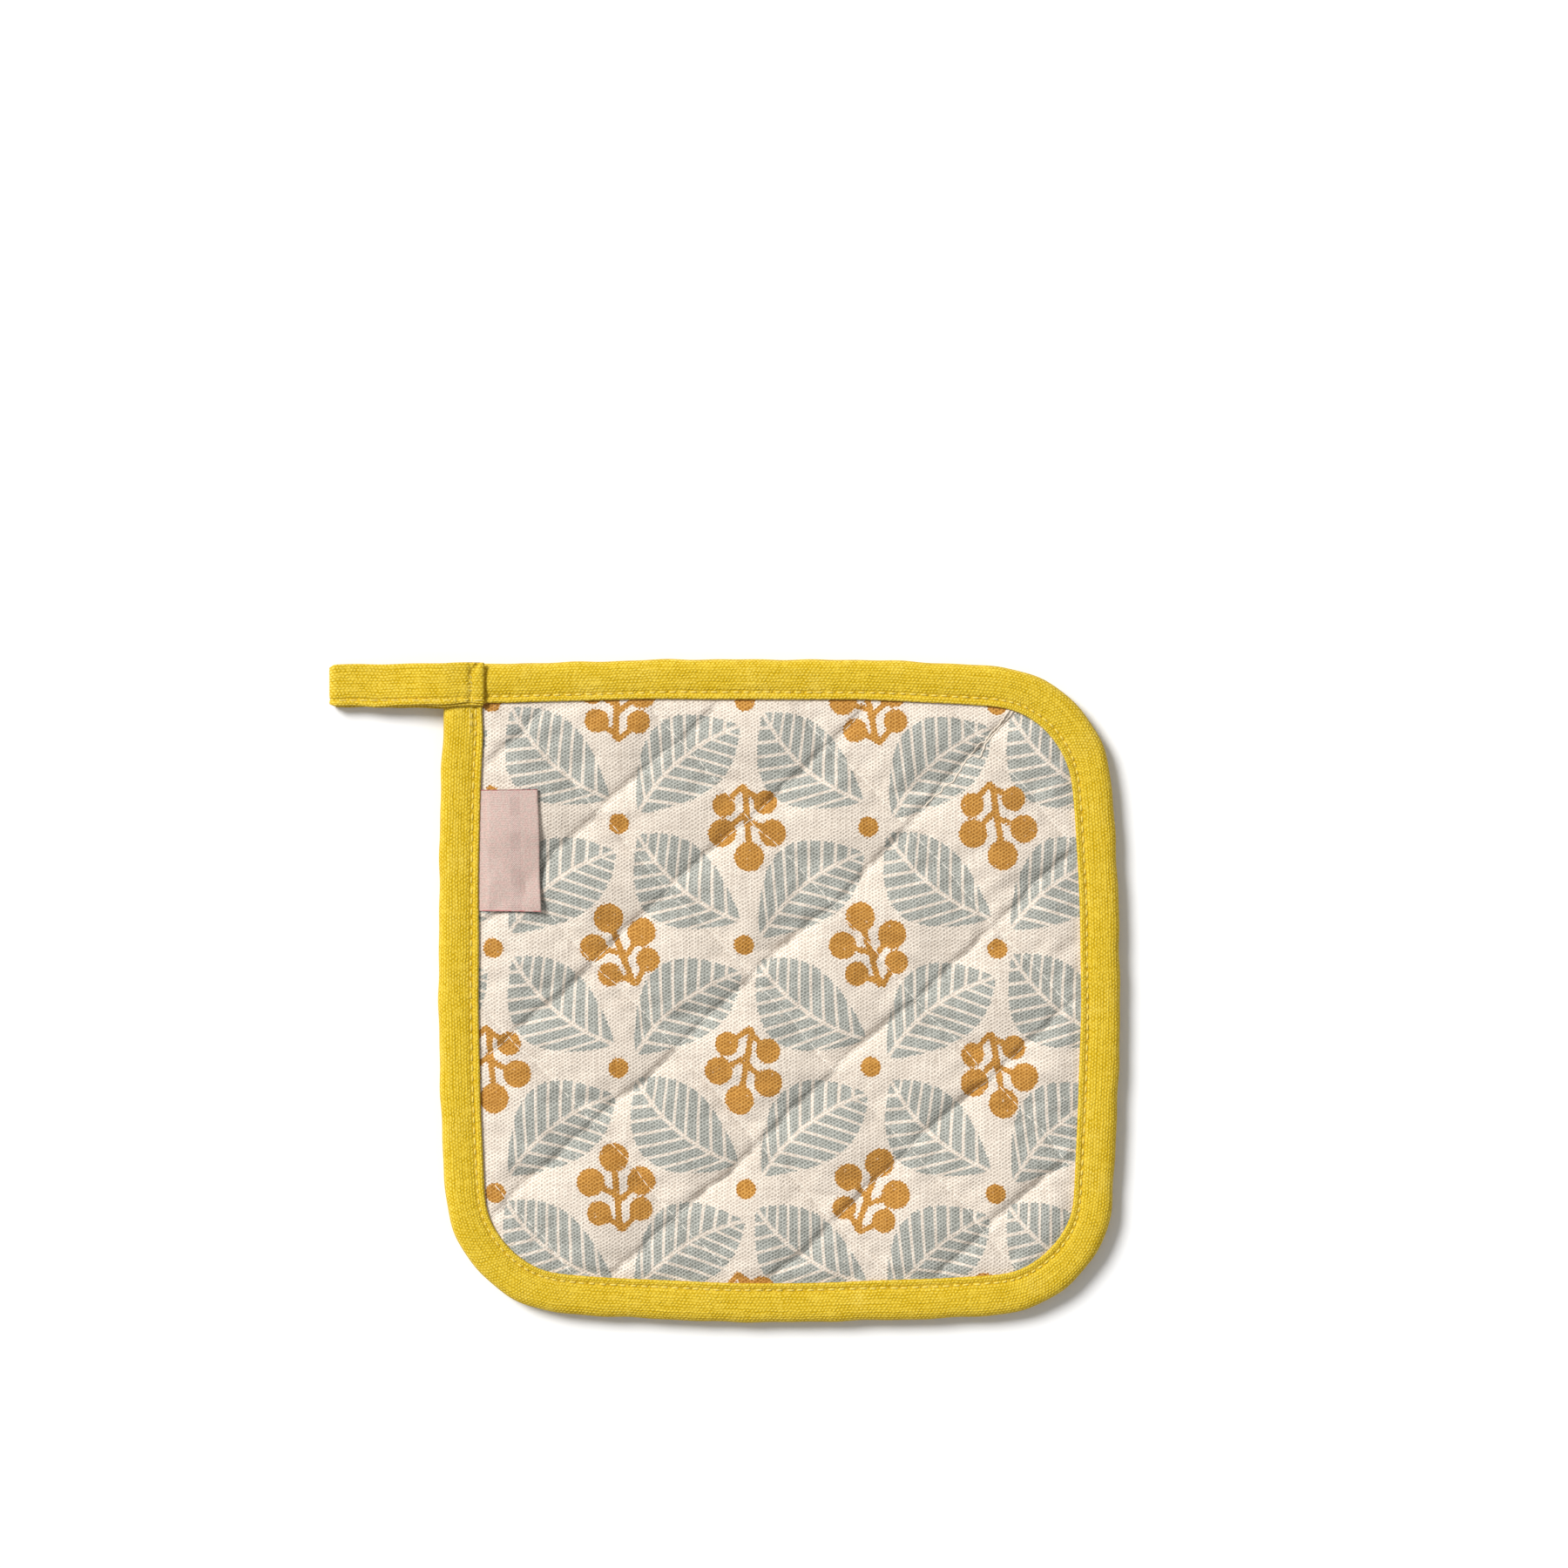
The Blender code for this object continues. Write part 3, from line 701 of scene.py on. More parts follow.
def tubes(centres, radius, sides=6):
    """Round threads: a ring of points about each centre[n, m], narrow at both ends and closed by a face at
    each."""
    along = unit(np.gradient(centres, axis=1))
    side = unit(np.cross(along, (0.0, 0.0, 1.0)))
    up = np.cross(side, along)
    turn = np.linspace(0, 2 * np.pi, sides, endpoint=False)
    count, stations = centres.shape[:2]
    width = np.full(stations, radius)
    width[[0, -1]] *= 0.5
    ring = side[:, :, None] * np.cos(turn)[:, None] + up[:, :, None] * np.sin(turn)[:, None]
    points = centres[:, :, None] + ring * width[None, :, None, None]
    numbers = np.arange(count * stations * sides).reshape(count, stations, sides)
    after = np.roll(numbers, -1, axis=2)
    quads = np.stack([numbers[:, :-1], after[:, :-1], after[:, 1:], numbers[:, 1:]], -1).reshape(-1, 4)
    ends = np.concatenate([numbers[:, 0, ::-1], numbers[:, -1]])
    loops = np.concatenate([quads.ravel(), ends.ravel()])
    starts = np.concatenate([np.arange(len(quads)) * 4, len(quads) * 4 + np.arange(len(ends)) * sides])
    return points.reshape(-1, 3), loops, starts


def joined(parts):
    """One set of points and faces out of several."""
    points, loops, starts, first, start = [], [], [], 0, 0
    for p, l, s in parts:
        points.append(p)
        loops.append(l + first)
        starts.append(s + start)
        first, start = first + len(p), start + len(l)
    return np.concatenate(points), np.concatenate(loops), np.concatenate(starts)


def stitch_runs(begin, end, heights, lift, side=1.0):
    """Centre lines of stitches from begin to end: each leaves the cloth, lies on it by lift and goes in
    again. heights gives the cloth's height at x and y, or is that height."""
    t = np.linspace(0, 1, 7)
    flat = begin[:, None] + (end - begin)[:, None] * t[None, :, None]
    level = heights(flat[..., 0], flat[..., 1]) if callable(heights) else np.full(flat.shape[:2], heights)
    z = level + side * lift * (2.2 * np.sin(np.pi * t) ** 0.6 - 1.2)
    return np.concatenate([flat + (PAD_X, 0), z[..., None]], 2)


def quilting_stitches(cloth, side):
    """Stitches along every quilting line, inside the binding."""
    found = []
    for lines, swap in ((LINES_ALONG, False), (LINES_ACROSS, True)):
        for k, line in enumerate(lines[1:-1]):
            run = np.arange(-0.13, 0.13, QUILT_STITCH) + 0.0007 * k
            run = run + rng.uniform(-0.00012, 0.00012, len(run))
            same = np.full(len(run), line)
            ends = np.stack(quilt_to_pad(*(drawn(run, same) if swap else drawn(same, run))), 1)
            begin, end = ends[:-1], ends[:-1] + (ends[1:] - ends[:-1]) * STITCH_SHARE
            keep = np.minimum(edge_depth(*begin.T), edge_depth(*end.T)) > BINDING_WIDTH + 0.0004
            found.append((begin[keep], end[keep]))
    begin = np.concatenate([b for b, _ in found])
    end = np.concatenate([e for _, e in found])
    return tubes(stitch_runs(begin, end, cloth.height, 0.00003, side), 0.00013)


def topstitches(path, side):
    """Stitches on the binding, in the groove behind its lip."""
    points, inward, s, total = path
    places = np.arange(4, (total - 0.0125) // TOP_STITCH) * TOP_STITCH
    line = points + inward * STITCH_DEPTH
    sewn = s + lean(s, total) * STITCH_DEPTH

    def at(run):
        return np.stack([np.interp(run, sewn, line[:, k]) for k in (0, 1)], 1)

    places = places + rng.uniform(-0.00015, 0.00015, len(places))
    begin, end = at(places + 0.0005), at(places + TOP_STITCH * rng.uniform(0.68, 0.80, len(places)))
    end = end + rng.uniform(-0.00012, 0.00012, end.shape)
    return tubes(stitch_runs(begin, end, MIDDLE + side * 0.00221, 0.00010, side), 0.00024)


# Loop


def loop_piece():
    """The strap: over the square corner, out, round and back under it, its front end folded under and sewn
    down."""
    half = LOOP_HALF
    over, under = 2 * MIDDLE - half - 0.0001, half + 0.0001
    turn_x = SIDE_X - LOOP_REACH + half + LOOP_TURN
    end_x = SIDE_X + LOOP_LAP - half
    knots = [
        (end_x - 0.0075, over - 0.0010), (end_x - 0.003, over - 0.0010), (end_x - 0.0005, over - 0.00096),
        (end_x + 0.0002, over - 0.00055), (end_x - 0.0004, over - 0.00015), (end_x - 0.0025, over - 0.0001),
        (SIDE_X + 0.006, over), (SIDE_X + 0.001, over - 0.0001), (SIDE_X - 0.005, over - 0.0010),
        (SIDE_X - 0.011, over - 0.0024), (SIDE_X - 0.018, over - 0.0037),
        (turn_x + 0.004, under + 2 * LOOP_TURN + 0.0001),
    ]
    bend = np.radians(np.linspace(90, 270, 9))
    knots += [(turn_x + LOOP_TURN * math.cos(a), under + LOOP_TURN + LOOP_TURN * math.sin(a)) for a in bend]
    knots += [(x, under) for x in (turn_x + 0.006, turn_x + 0.014, SIDE_X - 0.005, SIDE_X + LOOP_LAP)]
    path = resample(smooth_curve(knots, 900), LOOP_STEP)
    tangent = unit(np.gradient(path, axis=0))
    outwards = np.stack([tangent[:, 1], -tangent[:, 0]], 1)
    s = np.arange(len(path)) * LOOP_STEP
    total = s[-1]
    # The strap's section in millimetres, as (across, outwards): round fold at +, two stitched lips at -
    w, t = LOOP_WIDTH * 500, half * 1000
    upper = [
        (w, 0.0), (w - 0.12, t * 0.55), (w - 0.55, t * 0.93), (w - 1.6, t), (0.0, t * 1.02),
        (-w + 2.6, t * 0.98), (-w + 1.75, t * 0.72), (-w + 1.0, t * 0.95), (-w + 0.45, t * 0.95),
        (-w + 0.05, t * 0.72), (-w, t * 0.4), (-w + 0.25, t * 0.14), (-w + 1.0, t * 0.08),
    ]
    curve = smooth_curve(upper, 40) / 1000
    section = np.concatenate([curve, curve[:0:-1] * (1, -1)])
    tip = path[:, 0].min()
    from_lip = section[:, 0] + LOOP_WIDTH / 2
    thin = np.interp(s, [0, 0.007, 0.010, 0.018], [0.38, 0.38, 0.45, 0.95])
    narrow = 1 - 0.07 * bell(path[:, 0], tip, 0.0006)
    lip = bell(from_lip, 0, 0.002)
    past = np.interp(s, [0, 0.020, 0.030, total], [0.0008, 0.0007, 0.0002, 0.0002])
    past = past + 0.00012 * waver(s, total, 45, ((2, 1), (5, 0.7)))
    lip_waver = 0.00016 * waver(s, total, 41, ((2, 1), (5, 0.7), (9, 0.4)))
    across = section[:, 0] * narrow[:, None] - lip * (section[:, 1] < 0) * past[:, None]
    across = across + lip * lip_waver[:, None]
    dips = 0.00020 * (0.5 + 0.5 * np.cos(2 * np.pi * s / TOP_STITCH))
    crown = 1 - (section[:, 0] / (LOOP_WIDTH / 2)) ** 2
    crown_waver = 0.00006 * waver(s, total, 43, ((4, 1), (9, 0.8), (17, 0.5)))
    out = section[:, 1] * thin[:, None]
    out = out - np.sign(out) * bell(from_lip, LOOP_SEAM, 0.0006) * dips[:, None]
    out = out + np.sign(out) * crown * crown_waver[:, None]
    x = path[:, 0, None] + outwards[:, 0, None] * out
    z = path[:, 1, None] + outwards[:, 1, None] * out
    drift = np.interp(
        s,
        [0, 0.008, 0.020, 0.045, 0.053, 0.060, total],
        [0.0009, 0.0008, 0.0003, 0.0004, 0.0003, -0.0001, -0.0004],
    )
    drift = drift + 0.00018 * waver(s, total, 47, ((2, 1), (3, 0.7), (6, 0.4)))
    y = LOOP_TOP - LOOP_WIDTH / 2 + across + drift[:, None]
    # On the face that shows: the dip of the rows across the end, the swell past them, and a slanting fold
    face = (path[:, 1] > MIDDLE)[:, None] * (section[:, 1] > 0)
    fold = near_line(x, y, (SIDE_X + 0.0092, 0.0938), (SIDE_X + 0.0113, 0.0964))
    end_dip = 0.00035 * bell(x, SIDE_X + 0.0091, 0.0007) - 0.00012 * bell(x, SIDE_X + 0.0117, 0.0014)
    z = z - face * (end_dip + 0.0008 * bell(fold, 0, 0.0006))
    grid = np.stack([x, y, np.maximum(z, 0.00005)], 2)
    uv = np.stack(np.meshgrid(s, ring_run(section), indexing="ij"), 2)
    worn = bell(np.abs(section[:, 0]), LOOP_WIDTH / 2, 0.0006) + bell(path[:, 0], tip, 0.0012)[:, None]
    seam = np.tile((from_lip - LOOP_SEAM) * 1000, (len(s), 1))
    extra = {"worn": worn, "seam": seam}
    return skin("loop_strap", grid, uv, False, True, cap=True, extra=extra), grid, section


def surface_of(grid, pick):
    """A height lookup over the picked part of a strap's grid: the nearest point's height."""
    cloud = grid[pick]

    def height(x, y):
        flat = np.stack([x.ravel() + PAD_X, y.ravel()], 1)
        z = np.empty(len(flat))
        for k in range(0, len(flat), 400):
            part = flat[k : k + 400]
            off = ((part[:, None] - cloud[None, :, :2]) ** 2).sum(2)
            z[k : k + 400] = cloud[off.argmin(1), 2]
        return z.reshape(x.shape)

    return height


def loop_thread(begin, end, heights):
    """Stitches in the strap's own, thinner thread."""
    return tubes(stitch_runs(begin, end, heights, 0.00014), 0.00018)


def loop_stitches(grid, section):
    """The row along the strap's lips, above and below, and the doubled row that holds its folded end."""
    top = grid[..., 2] > LOOP_HALF + LOOP_TURN + 0.0005
    height = surface_of(grid, top & (section[:, 1] > 0.0004))
    run = np.arange(PAD_SIDE - LOOP_REACH + 0.003, PAD_SIDE + 0.0120, TOP_STITCH)
    begin = np.stack([run, np.full(len(run), LOOP_BOTTOM + 0.0018)], 1)
    parts = [loop_thread(begin, begin + (TOP_STITCH * STITCH_SHARE, 0), height)]
    for column, first, last in zip(END_ROWS, (0.0105, 0.0096), (-0.0018, -0.0006)):
        run = np.arange(LOOP_BOTTOM + first, LOOP_BOTTOM + last, -END_STITCH)
        begin = np.stack([PAD_SIDE + column + rng.uniform(-1e-4, 1e-4, len(run)), run], 1)
        end = begin - (rng.uniform(-1e-4, 1e-4, len(run))[:, None] * (1, 0)) - (0, 0.0019)
        parts.append(loop_thread(begin, end, height))
    return joined(parts)


def corner_stitches():
    """The same doubled row where it runs on down the left binding, past the strap's lips."""
    parts = []
    for column, length in zip(END_ROWS, (0.0075, 0.0055)):
        run = np.arange(LOOP_BOTTOM - 0.0018, LOOP_BOTTOM - length, -END_STITCH)
        begin = np.stack([np.full(len(run), PAD_SIDE + column), run], 1)
        parts.append(loop_thread(begin, begin - (0, 0.0019), MIDDLE + BINDING_HALF - 0.00022))
    return joined(parts)


# Label


def label_piece(front):
    """A satin ribbon folded in two. Its height is the highest of the cover round each point, which it
    bridges."""
    lip_x = PAD_SIDE - 0.0002 + BINDING_WIDTH
    half = LABEL_LENGTH / 2
    ply, fold = 0.00022, 0.00042
    u = np.concatenate([[-0.0035, -0.0015, 0.0], np.linspace(0.0006, LABEL_REACH, 40)])
    v = np.linspace(-half, half, 90)
    uu, vv = np.meshgrid(u, v, indexing="ij")
    open_share = np.clip(uu / LABEL_REACH, 0, 1)
    x = lip_x + uu * (1 - 0.022 * vv / half + 0.006 * np.sin(vv * 260))
    y = LABEL_MIDDLE + vv + 0.0002 * (uu / LABEL_REACH) ** 2 * np.sign(vv)
    base = np.full(uu.shape, -1.0)
    for dx in np.linspace(-0.0025, 0.0025, 5):
        for dy in np.linspace(-0.0025, 0.0025, 5):
            base = np.maximum(base, front.height(x + dx * np.clip(uu / 0.003, 0, 1), y + dy))
    wide = np.pad(base, ((0, 0), (5, 5)), mode="edge")
    base = sum(weight * wide[:, i : i + len(v)] for i, weight in enumerate(normal_weights(5, 3.0)))
    tucked = MIDDLE + CLOTH_HALF + 0.00002
    rise = np.clip(uu / 0.0025, 0, 1)
    low = tucked * (1 - rise) + (base + 0.00012) * rise
    low = low + 0.00025 * open_share**2 * (1 + 0.5 * waver(vv, LABEL_LENGTH, 51, ((1, 1), (2, 0.6))))
    thick = fold + 0.00035 * open_share**3
    under = np.stack([x + PAD_X, y, low], 2)
    over = np.stack([x + PAD_X, y, low + thick], 2)
    bend = np.linspace(-0.5 * np.pi, 0.5 * np.pi, 7)[1:-1]
    radius = thick[-1] / 2
    nose = np.stack([
        np.stack([x[-1] + PAD_X + radius * np.cos(a), y[-1], low[-1] + radius * (1 + np.sin(a))], 1)
        for a in bend
    ])
    slit_over = over.copy()
    slit_over[..., 2] -= ply
    slit_under = under.copy()
    slit_under[..., 2] += ply
    slit_under[..., 2] = np.minimum(slit_under[..., 2], slit_over[..., 2] - 0.00001)
    ring = np.concatenate([under, nose, over[::-1], slit_over, slit_under[::-1]])
    places = np.concatenate([u, np.full(len(bend), LABEL_REACH), u[::-1], u, u[::-1], [u[0]]])
    uv = np.stack(np.meshgrid(v, places, indexing="ij"), 2)
    return skin("label_ribbon", np.swapaxes(ring, 0, 1), uv, False, True, cap=True)


# Loose thread


def loose_thread(front):
    """A crinkled cream thread that lies by one quilting line: a strand, and a second beside it over its
    upper half."""
    parts = []
    for knots, seed in ((STRAND, 61), (SECOND_STRAND, 62)):
        route = (np.array(knots) - PHOTO_MIDDLE) * (PIXEL, -PIXEL)
        route = resample(smooth_curve(route, 400), 0.0003)
        s = np.arange(len(route)) * 0.0003
        crinkle = 0.00007 * waver(s, s[-1], seed, ((9, 1), (14, 0.9), (19, 0.7)))
        tangent = unit(np.gradient(route, axis=0))
        path = route + np.stack([-tangent[:, 1], tangent[:, 0]], 1) * crinkle[:, None]
        lift = 0.00007 + 0.00005 * (1 + waver(s, s[-1], seed + 10, ((7, 1), (12, 0.6))))
        z = front.height(*path.T) + lift
        parts.append(tubes(np.concatenate([path + (PAD_X, 0), z[:, None]], 1)[None], 0.00027, 8))
    return joined(parts)


# Materials


def link(tree, value, socket):
    """Sets a socket to a number or links it to another node's output."""
    if isinstance(value, bpy.types.NodeSocket):
        tree.links.new(value, socket)
    else:
        socket.default_value = value


def maths(tree, kind, *values):
    """A Math node's result for these values."""
    node = tree.nodes.new("ShaderNodeMath")
    node.operation = kind
    for value, socket in zip(values, node.inputs):
        link(tree, value, socket)
    return node.outputs[0]


def times(tree, first, second):
    return maths(tree, "MULTIPLY", first, second)


def plus(tree, first, second):
    return maths(tree, "ADD", first, second)


def scaled(tree, value, factor, offset):
    """value times factor plus offset."""
    return maths(tree, "MULTIPLY_ADD", value, factor, offset)


def ramp(tree, value, low, high):
    """0 up to low and 1 from high, smooth between."""
    node = tree.nodes.new("ShaderNodeMapRange")
    node.interpolation_type = "SMOOTHSTEP"
    for name, number in (("Value", value), ("From Min", low), ("From Max", high)):
        link(tree, number, node.inputs[name])
    return node.outputs["Result"]


def blend(tree, share, first, second, kind="MIX"):
    """Mixes two colours."""
    node = tree.nodes.new("ShaderNodeMix")
    node.data_type = "RGBA"
    node.blend_type = kind
    link(tree, share, node.inputs[0])
    for colour, socket in ((first, node.inputs[6]), (second, node.inputs[7])):
        link(tree, colour if isinstance(colour, bpy.types.NodeSocket) else (*colour, 1.0), socket)
    return node.outputs[2]


def shade(colour, factor):
    """The colour, that much darker."""
    return [part * factor for part in colour]


def noise(tree, vector, scale, detail=2.0):
    """Soft noise from 0 to 1."""
    node = tree.nodes.new("ShaderNodeTexNoise")
    node.inputs["Scale"].default_value = scale
    node.inputs["Detail"].default_value = detail
    tree.links.new(vector, node.inputs["Vector"])
    return node.outputs["Fac"]


def stretched(tree, vector, scale):
    """The vector times the scale along each axis."""
    node = tree.nodes.new("ShaderNodeMapping")
    node.inputs["Scale"].default_value = scale
    tree.links.new(vector, node.inputs["Vector"])
    return node.outputs[0]


def field(tree, name):
    """One of the piece's own point attributes."""
    node = tree.nodes.new("ShaderNodeAttribute")
    node.attribute_name = name
    return node.outputs["Fac"]


def new_material(name, roughness, sheen):
    """A cloth material with its node tree and shader."""
    material = bpy.data.materials.new(name)
    material.use_nodes = True
    tree = material.node_tree
    shader = tree.nodes["Principled BSDF"]
    shader.inputs["Roughness"].default_value = roughness
    shader.inputs["Specular IOR Level"].default_value = 0.25
    shader.inputs["Sheen Weight"].default_value = sheen
    shader.inputs["Sheen Roughness"].default_value = 0.6
    return material, tree, shader


def coordinates(tree, source):
    """The chosen texture coordinate, and its X and Y."""
    node = tree.nodes.new("ShaderNodeTexCoord")
    split = tree.nodes.new("ShaderNodeSeparateXYZ")
    tree.links.new(node.outputs[source], split.inputs[0])
    return node.outputs[source], split.outputs[0], split.outputs[1]


def weave(tree, x, y, width, length, shares):
    """Plain weave as it shows: columns of yarn, every other one half a place on. With p = x / (2 width), q
    = y / length and the shares a, b and c it is 0.5 + 0.5 (a cos(2 pi (p + q)) + b cos(2 pi (p - q)) + c
    cos(4 pi p)): light dots in light columns if they are above zero, dark pits if they are below it, which
    slant if a and b differ. Noise moves the yarns about, makes some flatter and others thicker along their
    length, and adds fibres."""
    node = tree.nodes.new("ShaderNodeCombineXYZ")
    link(tree, x, node.inputs[0])
    link(tree, y, node.inputs[1])
    place = node.outputs[0]

    def uneven(scale, size, detail=1.0):
        """Noise from -size to size or so, drawn out by the two scales."""
        grain = noise(tree, stretched(tree, place, (*scale, 1.0)), 1.0, detail)
        return scaled(tree, grain, 4 * size, -2 * size)

    p = times(tree, plus(tree, x, uneven((260.0, 330.0), width * 0.33, 3.0)), math.pi / width)
    q = times(tree, plus(tree, y, uneven((330.0, 240.0), length * 0.33, 3.0)), 2 * math.pi / length)
    total = 0.0
    for share, turn in zip(shares, (plus(tree, p, q), maths(tree, "SUBTRACT", p, q), times(tree, p, 2.0))):
        total = scaled(tree, maths(tree, "COSINE", turn), share, total)
    total = times(tree, total, plus(tree, uneven((800.0, 420.0), 0.75), 1.0))
    for scales, size in (((1150.0, 110.0), 0.34), ((110.0, 800.0), 0.26), ((2600.0, 1500.0), 0.34)):
        total = plus(tree, total, uneven(scales, size))
    return scaled(tree, total, 0.5, 0.5)


def cover_with(tree, shader, colour, height, distance):
    """Gives the shader its colour, and raises its surface by the height times the distance."""
    tree.links.new(colour, shader.inputs["Base Color"])
    node = tree.nodes.new("ShaderNodeBump")
    node.inputs["Distance"].default_value = distance
    tree.links.new(height, node.inputs["Height"])
    tree.links.new(node.outputs[0], shader.inputs["Normal"])


def seeds(tree, vector, scale, size, share):
    """Rare small flecks: the inner spots of a few Voronoi cells, as a 0 to 1 mask."""
    node = tree.nodes.new("ShaderNodeTexVoronoi")
    node.inputs["Scale"].default_value = scale
    tree.links.new(stretched(tree, vector, (1.0, 1.7, 1.0)), node.inputs["Vector"])
    near = ramp(tree, node.outputs["Distance"], size, size * 0.6)
    split = tree.nodes.new("ShaderNodeSeparateXYZ")
    tree.links.new(node.outputs["Color"], split.inputs[0])
    return times(tree, near, maths(tree, "LESS_THAN", split.outputs[0], share))


def canvas_cover(name, printed):
    """Natural cotton canvas, with the print's colours laid on where its distances say so. Crests of the weave
    are light and the gaps between them dark, in each colour: the dark gaps are painted shade between the
    yarns, and on the print the crests are also lighter where the ink has worn off them. The print's edge
    follows the weave."""
    material, tree, shader = new_material(name, 0.92, 0.08)
    vector, x, y = coordinates(tree, "Object")
    humps = weave(tree, x, y, 0.00087, 0.00110, (-0.40, -0.58, -0.30))
    # The share of crest colour against gap colour; the gap colours are painted shade between the yarns
    crest_vs_gap_shade = ramp(tree, humps, 0.0, 1.0)
    cloth = blend(tree, ramp(tree, noise(tree, vector, 55.0, 4.0), 0.3, 0.75), CREAM, shade(CREAM, 0.955))
    colour = blend(tree, crest_vs_gap_shade, CREAM_GAP_SHADE, cloth)
    if printed:
        fray = scaled(tree, noise(tree, vector, 1100.0, 1.0), 0.6, -0.3)
        fray = plus(tree, fray, scaled(tree, humps, 0.4, -0.3))
        leaf = plus(tree, field(tree, "leaf"), fray)
        inside = ramp(tree, leaf, 0.15, -0.15)
        rib = ramp(tree, plus(tree, maths(tree, "ABSOLUTE", field(tree, "rib")), fray), 0.32, 0.66)
        part = maths(tree, "ABSOLUTE", scaled(tree, maths(tree, "FRACT", field(tree, "vein")), 2.0, -1.0))
        vein = ramp(tree, scaled(tree, fray, 0.2, part), 0.15, 0.29)
        worn = ramp(tree, noise(tree, vector, 900.0, 3.0), 0.80, 0.66)
        sage = times(tree, times(tree, inside, rib), times(tree, vein, worn))
        colour = blend(tree, sage, colour, blend(tree, crest_vs_gap_shade, SAGE_GAP_SHADE, SAGE))
        ochre = times(tree, ramp(tree, plus(tree, field(tree, "ochre"), fray), 0.15, -0.15), worn)
        colour = blend(tree, ochre, colour, blend(tree, crest_vs_gap_shade, OCHRE_GAP_SHADE, OCHRE))
    colour = blend(tree, seeds(tree, vector, 150.0, 0.035, 0.10), colour, SEED)
    cover_with(tree, shader, colour, humps, 0.00012)
    return material


def canvas_tape(name):
    """Washed yellow canvas, its yarns along the tape: rows of light dots with painted shade in the gaps
    between them, some rows thicker, and the worn folds lighter. Painted shade darkens a patchy band along the
    seam's groove, and the needle holes are spots of painted shade a stitch apart, where seam is zero."""
    material, tree, shader = new_material(name, 0.95, 0.03)
    vector, x, y = coordinates(tree, "UV")
    humps = weave(tree, y, x, 0.00085, 0.00115, (0.46, 0.38, 0.52))
    # Crest colour against gap colour, where the gap colour is painted shade between the yarns
    crest_vs_gap_shade = ramp(tree, humps, 0.0, 1.0)
    rows = noise(tree, stretched(tree, vector, (60.0, 1300.0, 1.0)), 1.0, 3.0)
    lit = blend(tree, ramp(tree, rows, 0.3, 0.72), shade(YELLOW, 0.87), YELLOW)
    rubbed = ramp(tree, noise(tree, vector, 90.0, 4.0), 0.45, 0.8)
    lit = blend(tree, times(tree, rubbed, 0.6), lit, YELLOW_WORN)
    worn = times(tree, field(tree, "worn"), scaled(tree, noise(tree, vector, 500.0, 3.0), 0.8, 0.2))
    lit = blend(tree, maths(tree, "MINIMUM", times(tree, worn, 0.8), 1.0), lit, YELLOW_WORN)
    colour = blend(tree, crest_vs_gap_shade, YELLOW_GAP_SHADE, lit)
    colour = blend(tree, seeds(tree, vector, 110.0, 0.03, 0.05), colour, SEED)
    step = maths(tree, "PINGPONG", x, TOP_STITCH / 2)
    off = times(tree, field(tree, "seam"), 0.001)
    apart = maths(tree, "SQRT", plus(tree, times(tree, step, step), times(tree, off, off)))
    patchy = ramp(tree, noise(tree, vector, 330.0, 2.0), 0.40, 0.62)
    # A patchy band of painted shade along the seam's groove
    seam_groove_shade = times(tree, ramp(tree, maths(tree, "ABSOLUTE", off), 0.0009, 0.0002), patchy)
    colour = blend(tree, times(tree, seam_groove_shade, 0.55), colour, YELLOW_SEAM_SHADE)
    # Needle holes: spots of painted shade a stitch apart along the seam
    holes = times(tree, ramp(tree, apart, 0.00045, 0.00015), scaled(tree, patchy, 0.5, 0.12))
    colour = blend(tree, holes, colour, NEEDLE_HOLE_SHADE)
    cover_with(tree, shader, colour, humps, 0.00014)
    shader.inputs["Specular IOR Level"].default_value = 0.12
    return material


def thread_material(name, colour):
    """Twisted sewing thread: its plies show as fine light and dark."""
    material, tree, shader = new_material(name, 0.7, 0.15)
    vector = coordinates(tree, "Object")[0]
    plies = noise(tree, vector, 2600.0, 1.0)
    cover_with(tree, shader, blend(tree, plies, shade(colour, 0.82), colour), plies, 0.00005)
    return material


